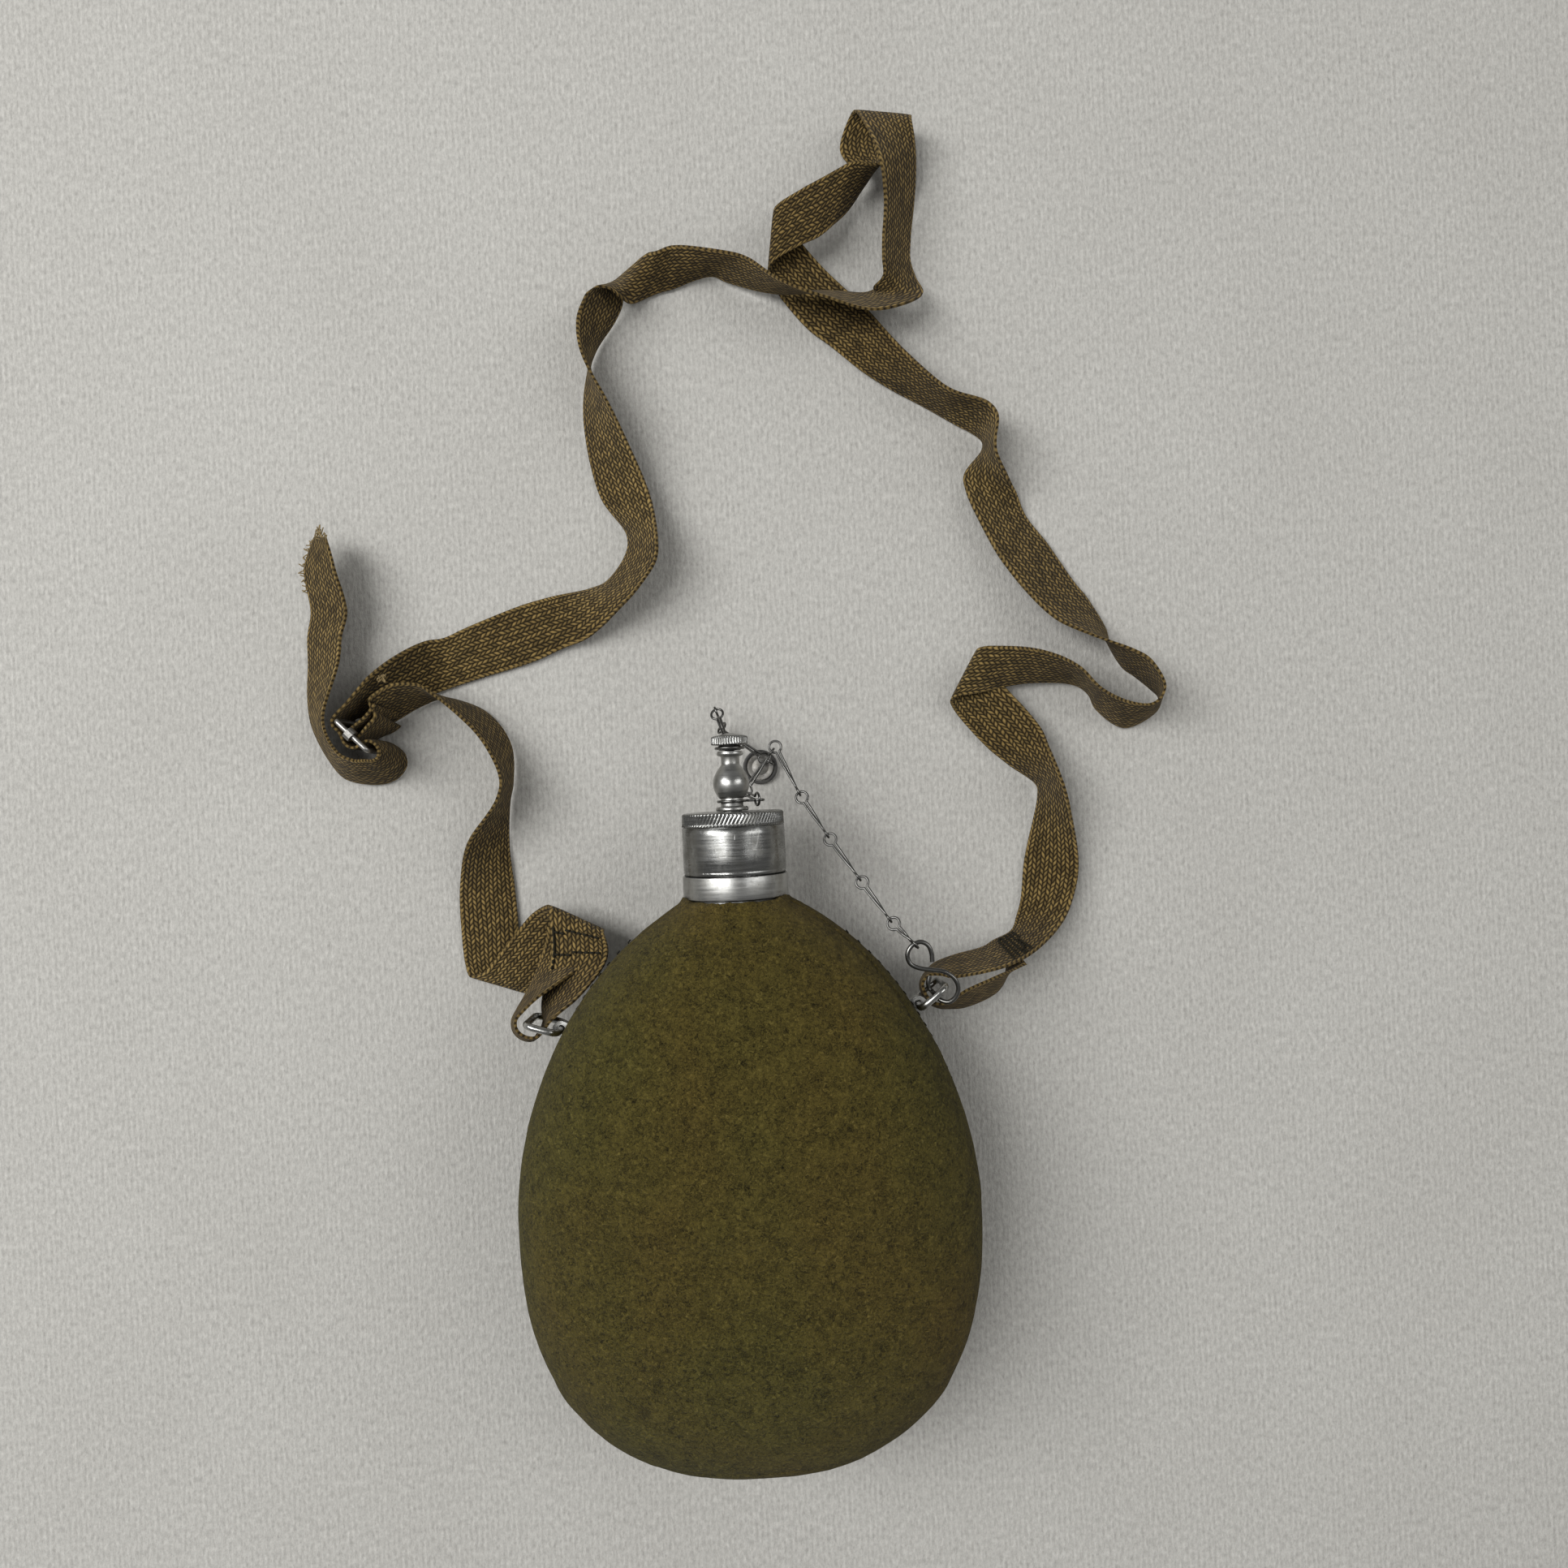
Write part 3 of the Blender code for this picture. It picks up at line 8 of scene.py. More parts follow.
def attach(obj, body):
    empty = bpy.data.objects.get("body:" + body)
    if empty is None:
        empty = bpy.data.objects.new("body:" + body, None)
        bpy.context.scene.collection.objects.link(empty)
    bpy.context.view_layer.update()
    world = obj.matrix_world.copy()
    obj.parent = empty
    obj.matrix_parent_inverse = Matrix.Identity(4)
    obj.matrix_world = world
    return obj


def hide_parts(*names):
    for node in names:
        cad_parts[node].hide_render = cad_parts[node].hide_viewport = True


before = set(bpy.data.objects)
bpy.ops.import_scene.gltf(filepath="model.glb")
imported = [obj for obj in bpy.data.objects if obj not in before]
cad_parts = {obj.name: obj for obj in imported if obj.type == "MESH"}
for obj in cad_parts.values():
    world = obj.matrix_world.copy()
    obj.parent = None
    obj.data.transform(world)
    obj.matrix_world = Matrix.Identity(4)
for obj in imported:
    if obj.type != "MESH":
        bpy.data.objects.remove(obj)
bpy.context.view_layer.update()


# Camera: a short lens held flat over the canteen, 412 mm up and turned a little anticlockwise, as the
# photograph was taken. It is so near that the tall parts lean outward in the picture.
eye = bpy.data.cameras.new("overhead")
eye.sensor_width = 36.0
eye.lens = 27.037
eye.clip_start = 0.01
camera = bpy.data.objects.new("overhead", eye)
camera.location = (0.0168, 0.133, 0.412)
camera.rotation_euler = (0.0, 0.0, math.radians(-2.6))
bpy.context.scene.collection.objects.link(camera)
bpy.context.scene.camera = camera


# Carrying strap: two lengths of 20 mm woven cotton tape, dyed olive drab. The long one is sewn round the
# right shoulder link, and its loose end goes through the buckle. The short one is sewn round the left link
# and round the buckle's bar. Each row is one place along the tape: a point on each selvage.
LONG_ROUTE = (
    (94.27, 69.79, 22.00, 91.17, 75.79, 5.50), (89.77, 68.89, 25.50, 90.27, 67.29, 8.50),
    (84.17, 67.99, 30.00, 86.17, 60.39, 14.00), (72.07, 64.29, 35.50, 73.57, 56.29, 20.00),
    (66.87, 61.79, 36.30, 67.77, 56.49, 22.50), (63.17, 60.69, 36.40, 64.47, 57.39, 24.90),
    (60.37, 62.09, 36.40, 61.57, 58.89, 24.90), (58.47, 64.79, 36.40, 59.57, 61.99, 24.90),
    (58.07, 67.69, 36.40, 58.57, 64.89, 24.90), (59.97, 69.89, 36.40, 59.87, 68.29, 24.60),
    (63.87, 69.99, 36.30, 63.67, 71.39, 22.00), (68.37, 68.79, 35.50, 70.07, 73.19, 19.50),
    (82.2, 69.7, 30.0, 81.6, 74.7, 13.0), (89.3, 70.9, 26.0, 85.7, 76.4, 10.5),
    (99.2, 74.6, 19.5, 92.5, 78.6, 6.0), (109.7, 82.7, 12.0, 95.5, 83.0, 1.8),
    (114.4, 91.3, 9.0, 97.6, 89.7, 1.2), (116.4, 101.8, 8.5, 99.3, 102.6, 1.2),
    (111.2, 124.9, 17.6, 105.0, 124.5, 1.7), (109.5, 130.7, 18.8, 104.6, 129.0, 2.0),
    (106.6, 141.8, 14.5, 95.3, 136.2, 2.0), (105.5, 147.5, 10.5, 89.3, 141.3, 2.0),
    (101.6, 154.0, 8.0, 83.6, 147.5, 2.0), (89.5, 168.4, 8.0, 76.7, 156.2, 3.6),
    (84.5, 175.0, 11.5, 75.7, 158.9, 5.6), (85.9, 176.2, 15.0, 77.4, 160.3, 8.0),
    (90.7, 176.0, 17.0, 82.3, 160.9, 8.8), (105.6, 173.4, 19.5, 102.8, 164.2, 4.5),
    (117.2, 167.1, 20.5, 119.8, 162.9, 1.6), (121.7, 161.7, 20.8, 124.5, 159.3, 1.3),
    (125.2, 158.9, 20.5, 126.6, 154.4, 1.2), (133.6, 155.1, 19.0, 136.5, 147.4, 1.2),
    (141.0, 154.4, 20.2, 147.8, 152.8, 1.2), (143.9, 156.9, 20.8, 148.8, 157.0, 1.2),
    (144.9, 160.6, 20.8, 146.4, 160.0, 1.2), (140.2, 169.0, 20.8, 140.4, 165.4, 1.2),
    (136.0, 171.8, 20.8, 136.9, 168.1, 1.2), (127.3, 175.5, 20.6, 132.7, 175.6, 1.2),
    (122.2, 177.7, 19.9, 131.2, 181.9, 1.3), (111.7, 184.0, 15.4, 125.0, 192.9, 1.8),
    (104.8, 191.2, 13.0, 120.9, 198.5, 1.7), (95.5, 204.3, 10.5, 112.7, 211.9, 1.2),
    (89.2, 217.2, 8.0, 105.3, 222.2, 1.4), (84.2, 231.0, 5.0, 101.2, 230.9, 5.0),
    (84.6, 238.2, 1.3, 97.6, 234.2, 11.6), (91.1, 246.1, 1.3, 92.5, 241.5, 19.0),
    (91.5, 248.9, 1.3, 92.4, 245.3, 20.2), (87.1, 252.8, 1.3, 94.0, 253.8, 17.0),
    (83.6, 254.8, 1.2, 91.5, 258.2, 15.9), (74.1, 260.7, 1.2, 78.1, 263.0, 17.6),
    (53.1, 273.6, 1.2, 64.7, 277.8, 12.8), (39.6, 285.0, 1.3, 54.3, 294.6, 4.0),
    (32.7, 290.6, 1.4, 50.1, 299.8, 2.6), (24.1, 301.0, 1.8, 41.1, 308.2, 3.8),
    (21.1, 305.5, 2.7, 36.0, 313.1, 5.7), (19.1, 307.2, 3.9, 29.7, 319.6, 8.7),
    (19.5, 309.6, 7.3, 22.8, 325.3, 12.7), (21.3, 311.1, 10.5, 22.9, 327.0, 16.1),
    (31.1, 315.1, 13.4, 31.3, 331.6, 17.6), (37.0, 317.6, 13.0, 37.1, 334.8, 17.0),
    (42.2, 322.5, 10.7, 43.9, 338.3, 16.8), (47.5, 329.3, 5.9, 49.8, 339.6, 19.1),
    (52.3, 336.8, 3.1, 53.9, 338.3, 19.9), (55.3, 341.7, 2.5, 57.9, 338.4, 18.9),
    (53.6, 345.8, 1.8, 61.4, 341.7, 16.8), (48.9, 347.9, 1.6, 63.4, 347.2, 13.0),
    (46.3, 352.9, 2.0, 64.1, 353.9, 8.4), (48.1, 358.8, 4.4, 65.8, 358.2, 7.6),
    (50.9, 362.0, 8.4, 69.9, 358.3, 11.0), (53.1, 356.2, 14.6, 70.1, 354.9, 14.0),
    (57.6, 339.1, 22.6, 71.4, 345.7, 10.0), (59.2, 327.6, 19.6, 71.1, 334.9, 4.0),
    (58.1, 313.5, 18.1, 69.3, 320.5, 1.7), (57.9, 307.3, 18.0, 68.8, 313.2, 2.4),
    (58.1, 302.8, 15.9, 70.2, 306.0, 4.5), (55.0, 300.5, 12.5, 71.7, 298.0, 10.0),
    (55.0, 301.3, 6.7, 61.4, 290.8, 18.4), (51.3, 300.6, 6.6, 53.1, 289.4, 20.5),
    (37.9, 301.9, 6.5, 38.7, 292.0, 24.9), (23.3, 301.7, 6.4, 24.6, 298.0, 24.8),
    (5.0, 308.3, 2.2, 12.6, 308.9, 19.0), (0.0, 311.0, 1.6, 8.3, 310.9, 18.6),
    (-14.6, 307.2, 1.2, -9.3, 315.9, 14.9), (-19.7, 306.0, 1.2, -13.8, 316.7, 13.1),
    (-24.0, 304.1, 1.9, -17.9, 315.2, 13.3), (-28.2, 300.7, 6.0, -21.7, 315.6, 11.0),
    (-31.0, 300.0, 13.4, -27.3, 314.3, 5.0), (-34.1, 301.7, 17.2, -33.3, 310.6, 2.8),
    (-37.7, 301.1, 20.4, -35.8, 309.3, 1.4), (-41.1, 299.6, 19.9, -32.4, 307.1, 2.3),
    (-43.4, 296.3, 18.9, -31.8, 302.7, 2.5), (-45.1, 291.6, 18.6, -34.5, 297.3, 1.5),
    (-44.2, 280.1, 19.6, -42.0, 286.7, 1.3), (-37.0, 264.7, 19.1, -46.5, 271.2, 1.6),
    (-30.6, 250.0, 14.5, -46.5, 254.0, 1.4), (-24.3, 232.7, 11.6, -42.3, 235.4, 1.3),
    (-21.9, 216.6, 17.8, -33.8, 222.0, 1.3), (-22.8, 209.8, 18.0, -34.3, 215.7, 1.5),
    (-29.7, 200.2, 17.4, -41.6, 206.2, 1.3), (-34.6, 195.9, 15.0, -46.8, 204.2, 1.3),
    (-48.6, 186.4, 5.6, -58.8, 202.3, 1.3), (-57.7, 183.6, 2.6, -64.0, 201.3, 1.3),
    (-68.3, 179.6, 1.4, -72.6, 199.1, 1.3), (-86.7, 174.8, 1.3, -91.0, 192.6, 1.3),
    (-95.3, 172.4, 1.3, -99.0, 189.1, 2.6), (-101.9, 170.4, 1.4, -104.8, 187.8, 6.0),
    (-112.7, 166.6, 1.8, -112.5, 181.4, 16.4), (-122.2, 164.6, 3.0, -119.4, 174.8, 21.2),
    (-125.9, 163.6, 2.0, -123.4, 170.6, 21.0), (-128.7, 162.9, 2.2, -127.4, 166.0, 21.6),
    (-131.0, 162.6, 2.3, -130.6, 163.0, 21.8), (-132.2, 160.9, 2.3, -132.1, 161.0, 21.8),
    (-131.8, 158.8, 2.3, -131.8, 158.8, 21.8), (-130.2, 157.4, 2.3, -130.2, 157.4, 21.8),
    (-129.2, 155.6, 2.3, -129.2, 155.6, 21.8), (-128.4, 153.4, 2.3, -128.4, 153.4, 21.8),
    (-126.4, 151.6, 2.3, -126.4, 151.6, 21.8), (-124.2, 151.7, 2.3, -124.2, 151.7, 21.8),
    (-122.5, 152.9, 2.3, -122.5, 153.0, 21.8), (-120.5, 153.6, 2.3, -120.6, 153.6, 21.8),
    (-117.8, 152.4, 2.3, -118.4, 152.6, 21.8), (-114.9, 149.4, 1.4, -117.2, 150.4, 21.4),
    (-114.4, 145.4, 1.3, -117.8, 148.0, 20.8), (-117.6, 141.4, 1.3, -119.8, 147.0, 20.6),
    (-123.0, 139.6, 1.3, -122.3, 147.2, 20.4), (-132.8, 140.7, 2.4, -126.3, 147.6, 20.6),
    (-137.9, 143.9, 2.1, -130.7, 149.8, 20.4), (-146.4, 161.1, 2.3, -135.6, 160.9, 19.8),
    (-146.4, 183.1, 2.5, -130.9, 181.5, 15.8), (-146.2, 191.6, 2.5, -130.1, 189.7, 15.1),
    (-144.2, 199.8, 3.4, -127.8, 197.5, 15.4), (-144.9, 213.9, 6.4, -129.8, 211.1, 18.4),
    (-142.1, 219.9, 8.4, -131.1, 217.1, 18.6), (-139.5, 224.5, 9.6, -132.9, 222.5, 17.6),
)
SHORT_ROUTE = (
    (-65.35, 88.29, 13.60, -45.85, 83.69, 18.60), (-65.85, 83.59, 15.00, -47.25, 79.79, 21.40),
    (-69.75, 71.79, 18.40, -59.55, 71.69, 30.60), (-72.55, 66.29, 20.40, -65.85, 67.59, 34.00),
    (-74.75, 62.39, 22.40, -69.45, 64.49, 36.00), (-75.95, 59.19, 24.60, -72.05, 61.59, 36.40),
    (-75.55, 55.49, 24.60, -71.75, 58.29, 36.40), (-72.95, 52.99, 24.60, -68.95, 56.09, 36.40),
    (-69.75, 52.49, 24.60, -65.85, 55.89, 36.40), (-67.55, 54.89, 24.90, -63.45, 57.89, 36.40),
    (-65.65, 58.39, 25.20, -61.75, 60.09, 36.40), (-65.95, 62.59, 24.70, -58.15, 63.19, 36.00),
    (-65.65, 67.29, 23.40, -52.55, 67.29, 34.00), (-63.25, 76.79, 21.40, -44.35, 76.79, 28.40),
    (-62.85, 81.99, 20.20, -43.25, 80.89, 26.60), (-63.65, 93.69, 17.80, -44.95, 86.39, 22.40),
    (-64.25, 95.69, 15.20, -45.85, 86.99, 18.40), (-70.5, 93.1, 9.9, -52.1, 84.1, 12.3),
    (-75.2, 88.7, 8.0, -58.3, 79.3, 10.0), (-85.5, 77.0, 5.4, -70.5, 69.0, 6.2),
    (-90.1, 72.4, 4.4, -74.4, 66.0, 4.6), (-95.3, 71.2, 2.6, -76.4, 64.9, 2.6),
    (-96.9, 74.7, 1.3, -78.2, 69.6, 1.3), (-97.8, 86.6, 1.2, -78.0, 86.3, 1.2),
    (-97.2, 102.6, 3.0, -78.7, 101.6, 1.2), (-91.0, 117.6, 14.0, -79.9, 115.8, 1.2),
    (-78.8, 132.2, 20.8, -79.1, 131.4, 1.2), (-77.1, 138.3, 21.0, -77.7, 137.6, 1.2),
    (-81.7, 150.2, 21.0, -77.9, 151.2, 1.2), (-90.7, 161.1, 20.6, -86.7, 163.2, 1.2),
    (-99.1, 168.7, 21.4, -100.9, 168.1, 1.4), (-103.2, 171.5, 21.4, -107.1, 166.4, 1.8),
    (-112.6, 171.7, 21.0, -115.5, 161.9, 3.0), (-116.7, 169.7, 21.2, -119.3, 159.8, 3.2),
    (-119.7, 167.2, 21.2, -122.5, 157.7, 3.2), (-117.7, 161.5, 22.0, -115.6, 159.3, 2.2),
    (-120.1, 158.8, 21.8, -118.6, 157.2, 2.0), (-122.2, 156.7, 21.2, -121.7, 156.1, 2.7),
    (-123.9, 155.0, 20.9, -123.9, 155.0, 3.1), (-125.7, 154.0, 20.9, -125.7, 154.0, 3.1),
    (-127.0, 154.6, 20.9, -127.0, 154.6, 3.1), (-127.5, 156.0, 20.9, -127.5, 156.0, 3.1),
    (-126.6, 157.5, 20.9, -126.6, 157.5, 3.1), (-124.5, 159.1, 21.2, -124.0, 158.6, 2.7),
    (-122.3, 160.5, 21.7, -121.2, 159.3, 2.0), (-119.8, 162.8, 21.9, -118.0, 160.9, 2.2),
    (-117.7, 165.5, 22.0, -114.9, 162.6, 2.3),
)
MM = 0.001
TAPE_WIDTH = 0.020
TAPE_ACROSS = TAPE_WIDTH / MM
TAPE_THICKNESS = 1.2
SELVAGE_THINNING = 0.35
TAPE_STEP = 1.5
TAPE_COLUMNS = 12
HANDLED_WAVE = 0.22
EDGE_FRAY = 0.12
WARP_RIBS = 13
YARN_FLOAT = 1.9
SELVAGE_TWISTS = 72.0
# The furrow colour is painted shade, the near-black where the yarn floats meet and dip.
FURROW_SHADE = (0.007, 0.0044, 0.001, 1.0)
YARN_DYE = (0.243, 0.167, 0.06, 1.0)
TAPE_RUBBED = (0.82, 0.79, 0.70, 1.0)
TAPE_FADED = (1.15, 1.15, 1.12, 1.0)


def spline(points, spacing, closed=False):
    """A smooth run through points, about one new point every spacing."""
    points = [Vector(p) for p in points]
    if closed:
        points = [points[-1]] + points + points[:2]
    out = []
    first = 1 if closed else 0
    last = len(points) - 2 if closed else len(points) - 1
    for i in range(first, last):
        p1 = points[i]
        p2 = points[i + 1]
        p0 = points[i - 1] if i > 0 else p1 * 2.0 - p2
        p3 = points[i + 2] if i + 2 < len(points) else p2 * 2.0 - p1
        steps = max(1, round((p2 - p1).length / spacing))
        for s in range(steps):
            out.append(between(p0, p1, p2, p3, s / steps))
    if not closed:
        out.append(points[-1])
    return out


def between(p0, p1, p2, p3, t):
    """Catmull-Rom point with knots spaced by the square root of each chord."""
    k1 = max((p1 - p0).length, 1e-6) ** 0.5
    k2 = k1 + max((p2 - p1).length, 1e-6) ** 0.5
    k3 = k2 + max((p3 - p2).length, 1e-6) ** 0.5
    k = k1 + (k2 - k1) * t
    a1 = p0 * ((k1 - k) / k1) + p1 * (k / k1)
    a2 = p1 * ((k2 - k) / (k2 - k1)) + p2 * ((k - k1) / (k2 - k1))
    a3 = p2 * ((k3 - k) / (k3 - k2)) + p3 * ((k - k2) / (k3 - k2))
    b1 = a1 * ((k2 - k) / k2) + a2 * (k / k2)
    b2 = a2 * ((k3 - k) / (k3 - k1)) + a3 * ((k - k1) / (k3 - k1))
    return b1 * ((k2 - k) / (k2 - k1)) + b2 * ((k - k1) / (k2 - k1))


def piece(name, points, faces, finish, body, sharp=180.0, uvs=None):
    """One closed piece from points in millimetres, in its finish, riding on a body."""
    mesh = bpy.data.meshes.new(name)
    mesh.from_pydata([tuple(c * MM for c in p) for p in points], [], faces)
    if uvs:
        layer = mesh.uv_layers.new(name="cloth")
        for loop in mesh.loops:
            layer.data[loop.index].uv = uvs[loop.vertex_index]
    bm = bmesh.new()
    bm.from_mesh(mesh)
    bmesh.ops.recalc_face_normals(bm, faces=bm.faces)
    bm.to_mesh(mesh)
    bm.free()
    mesh.shade_smooth()
    if sharp < 180.0:
        mesh.set_sharp_from_angle(angle=math.radians(sharp))
    mesh.materials.append(finish)
    made = bpy.data.objects.new(name, mesh)
    bpy.context.scene.collection.objects.link(made)
    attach(made, body)
    return made


def new_finish(name, colour, roughness, metallic=0.0):
    """A new material, its node tree, its shader, and the place on the piece in metres."""
    made = bpy.data.materials.new(name)
    made.use_nodes = True
    made.diffuse_color = (*colour, 1.0)
    shader = made.node_tree.nodes["Principled BSDF"]
    shader.inputs["Base Color"].default_value = (*colour, 1.0)
    shader.inputs["Roughness"].default_value = roughness
    shader.inputs["Metallic"].default_value = metallic
    place = made.node_tree.nodes.new("ShaderNodeTexCoord")
    return made, made.node_tree, shader, place.outputs["Object"]


def add(tree, kind, inputs=(), **settings):
    """A shader node, with (socket, value or output) pairs plugged into it."""
    made = tree.nodes.new("ShaderNode" + kind)
    for key, value in settings.items():
        setattr(made, key, value)
    for socket, value in inputs:
        if isinstance(value, bpy.types.NodeSocket):
            tree.links.new(value, made.inputs[socket])
        else:
            made.inputs[socket].default_value = value
    return made


def calc(tree, operation, *values):
    """One step of arithmetic in a finish."""
    made = add(tree, "Math", enumerate(values), operation=operation)
    return made.outputs[0]


def grain(tree, where, stretch, detail=3.0, rough=0.6, warp=0.0):
    """Noise at so many cycles per metre along x, y and z."""
    scaled = add(tree, "VectorMath", ((0, where), (1, stretch)), operation="MULTIPLY")
    made = add(tree, "TexNoise", (("Vector", scaled.outputs[0]), ("Scale", 1.0), ("Detail", detail),
                                  ("Roughness", rough), ("Distortion", warp)))
    return made.outputs[0]


def spread(tree, value, low, high, to_low=0.0, to_high=1.0):
    """A value between low and high, carried over to another range and held at its ends."""
    made = add(tree, "MapRange", ((0, value), (1, low), (2, high), (3, to_low), (4, to_high)))
    return made.outputs[0]


def blend_colours(tree, factor, first, second, way="MIX"):
    """The first colour at 0, the second at 1, or the two multiplied."""
    made = add(tree, "Mix", ((0, factor), (6, first), (7, second)), data_type="RGBA", blend_type=way)
    return made.outputs[2]


def raise_grain(tree, shader, height, strength, distance):
    """Fine relief that is too small to model, so many metres high at most."""
    bump = add(tree, "Bump", (("Height", height), ("Strength", strength), ("Distance", distance)))
    tree.links.new(bump.outputs[0], shader.inputs["Normal"])


def matt(shader, specular, sheen=0.0, sheen_roughness=0.5):
    """The dull face of cloth, with the pale bloom of its loose fibres."""
    shader.inputs["Specular IOR Level"].default_value = specular
    shader.inputs["Sheen Weight"].default_value = sheen
    shader.inputs["Sheen Roughness"].default_value = sheen_roughness


def woven_tape():
    """Cotton tape: rows of slanting yarn floats, each painted darker towards its sides into furrows of
    painted shade, and tighter rope-like selvages painted lighter on the crests of their twists.
    """
    made, tree, shader, where = new_finish("woven_tape", (0.120, 0.078, 0.026), 0.85)
    cloth = add(tree, "UVMap", uv_map="cloth")
    split = add(tree, "SeparateXYZ", ((0, cloth.outputs[0]),))
    across, along = split.outputs[0], split.outputs[1]
    sway = spread(tree, grain(tree, where, (160.0,) * 3, 2.0), 0.3, 0.7, -0.12, 0.12)
    rib = calc(tree, "ADD", calc(tree, "MULTIPLY", across, float(WARP_RIBS)), sway)
    rib_number = calc(tree, "FLOOR", rib)
    in_rib = calc(tree, "SUBTRACT", calc(tree, "FRACT", rib), 0.5)
    parity = calc(tree, "MODULO", rib_number, 2.0)
    lean = calc(tree, "SUBTRACT", calc(tree, "MULTIPLY", parity, 2.0), 1.0)
    slant = calc(tree, "MULTIPLY", calc(tree, "MULTIPLY", lean, 0.8), in_rib)
    run = calc(tree, "MULTIPLY", along, TAPE_ACROSS / YARN_FLOAT)
    run = calc(tree, "ADD", calc(tree, "ADD", run, slant), calc(tree, "MULTIPLY", parity, 0.5))
    run = calc(tree, "ADD", run, calc(tree, "MULTIPLY", sway, 1.5))
    float_number = calc(tree, "FLOOR", run)
    in_float = calc(tree, "SUBTRACT", calc(tree, "FRACT", run), 0.5)
    rounded = []
    for offset, power in ((in_rib, 2.2), (in_float, 2.0)):
        away = calc(tree, "ABSOLUTE", calc(tree, "MULTIPLY", offset, 2.0))
        rounded.append(calc(tree, "SUBTRACT", 1.0, calc(tree, "POWER", away, power)))
    yarn = calc(tree, "POWER", calc(tree, "MAXIMUM", calc(tree, "MULTIPLY", *rounded), 0.0), 1.5)
    cell = add(tree, "CombineXYZ", ((0, rib_number), (1, float_number)))
    odd = add(tree, "TexWhiteNoise", (("Vector", cell.outputs[0]),), noise_dimensions="3D").outputs["Value"]
    fuzz = grain(tree, where, (2600.0,) * 3, 2.0, 0.7)
    wear = grain(tree, where, (28.0,) * 3, 4.0, 0.6)
    lit = calc(tree, "MULTIPLY", yarn, spread(tree, odd, 0.0, 1.0, 0.45, 1.3))
    lit = calc(tree, "MULTIPLY", lit, spread(tree, fuzz, 0.25, 0.75, 0.7, 1.25))
    at_edge = spread(tree, calc(tree, "ABSOLUTE", calc(tree, "SUBTRACT", across, 0.5)), 0.45, 0.48)
    twist = calc(tree, "SINE", calc(tree, "MULTIPLY", along, SELVAGE_TWISTS))
    lit = calc(tree, "ADD", lit, calc(tree, "MULTIPLY", at_edge, spread(tree, twist, -1.0, 1.0, 0.0, 0.5)))
    # Painted shade: each yarn float goes from its own colour on top to near-black furrows at its sides and
    # ends, and the selvage twists are painted lighter on their crests.
    base = blend_colours(tree, lit, FURROW_SHADE, YARN_DYE)
    worn = blend_colours(tree, spread(tree, wear, 0.35, 0.7), TAPE_RUBBED, TAPE_FADED)
    tree.links.new(blend_colours(tree, 1.0, base, worn, "MULTIPLY"), shader.inputs["Base Color"])
    tree.links.new(spread(tree, lit, 0.0, 1.0, 0.96, 0.78), shader.inputs["Roughness"])
    raise_grain(tree, shader, calc(tree, "ADD", yarn, calc(tree, "MULTIPLY", fuzz, 0.35)), 0.8, 0.0004)
    matt(shader, 0.12, 0.05, 0.6)
    return made


def tape_stations(rows):
    """Places a step apart along a tape: middle, direction across, face normal and distance run."""
    out = []
    run = 0.0
    stations = spline(rows, TAPE_STEP)
    mids = [(Vector(s[0:3]) + Vector(s[3:6])) / 2.0 for s in stations]
    for i, s in enumerate(stations):
        across = Vector(s[3:6]) - Vector(s[0:3])
        tangent = mids[min(i + 1, len(mids) - 1)] - mids[max(i - 1, 0)]
        if i > 0:
            run += (mids[i] - mids[i - 1]).length
        out.append((mids[i], across, tangent.cross(across).normalized(), run))
    return out


def on_tape(stations, run, share, lift):
    """A point so far along a tape, at a share of its width, lifted off its face."""
    index = min(range(len(stations)), key=lambda i: abs(stations[i][3] - run))
    middle, across, normal, _ = stations[index]
    if normal.z < 0.0:
        normal = -normal
    return middle + across * (share - 0.5) + normal * (lift + TAPE_THICKNESS / 2.0)


def tape(name, rows, finish):
    """A tape swept through its rows, thinner at the selvages, with the small waves of handled cotton."""
    stations = tape_stations(rows)
    points = []
    uvs = []
    for middle, across, normal, run in stations:
        for face in (1.0, -1.0):
            for j in range(TAPE_COLUMNS + 1):
                share = j / TAPE_COLUMNS if face > 0.0 else 1.0 - j / TAPE_COLUMNS
                edge = abs(2.0 * share - 1.0) ** 6
                wave = HANDLED_WAVE * noise.noise(Vector((run * 0.09, share * 1.6, len(rows) * 0.37)))
                half = TAPE_THICKNESS / 2.0 * (1.0 - SELVAGE_THINNING * edge)
                fray = EDGE_FRAY * noise.noise(Vector((run * 0.8, face, len(rows) * 1.7)))
                out = across * ((share - 0.5) * (1.0 + fray / TAPE_ACROSS))
                points.append(middle + out + normal * (face * half + wave))
                uvs.append((share, run / TAPE_ACROSS))
    ring = 2 * (TAPE_COLUMNS + 1)
    faces = [tuple(range(ring))]
    for i in range(len(stations) - 1):
        for k in range(ring):
            m = (k + 1) % ring
            faces.append((i * ring + k, i * ring + m, (i + 1) * ring + m, (i + 1) * ring + k))
    faces.append(tuple((len(stations) - 1) * ring + k for k in range(ring)))
    return piece(name, points, faces, finish, "flask", 60.0, uvs), stations


tape_finish = woven_tape()
long_tape, long_places = tape("long_tape", LONG_ROUTE, tape_finish)
short_tape, short_places = tape("short_tape", SHORT_ROUTE, tape_finish)
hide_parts("strap_long")
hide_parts("strap_left")


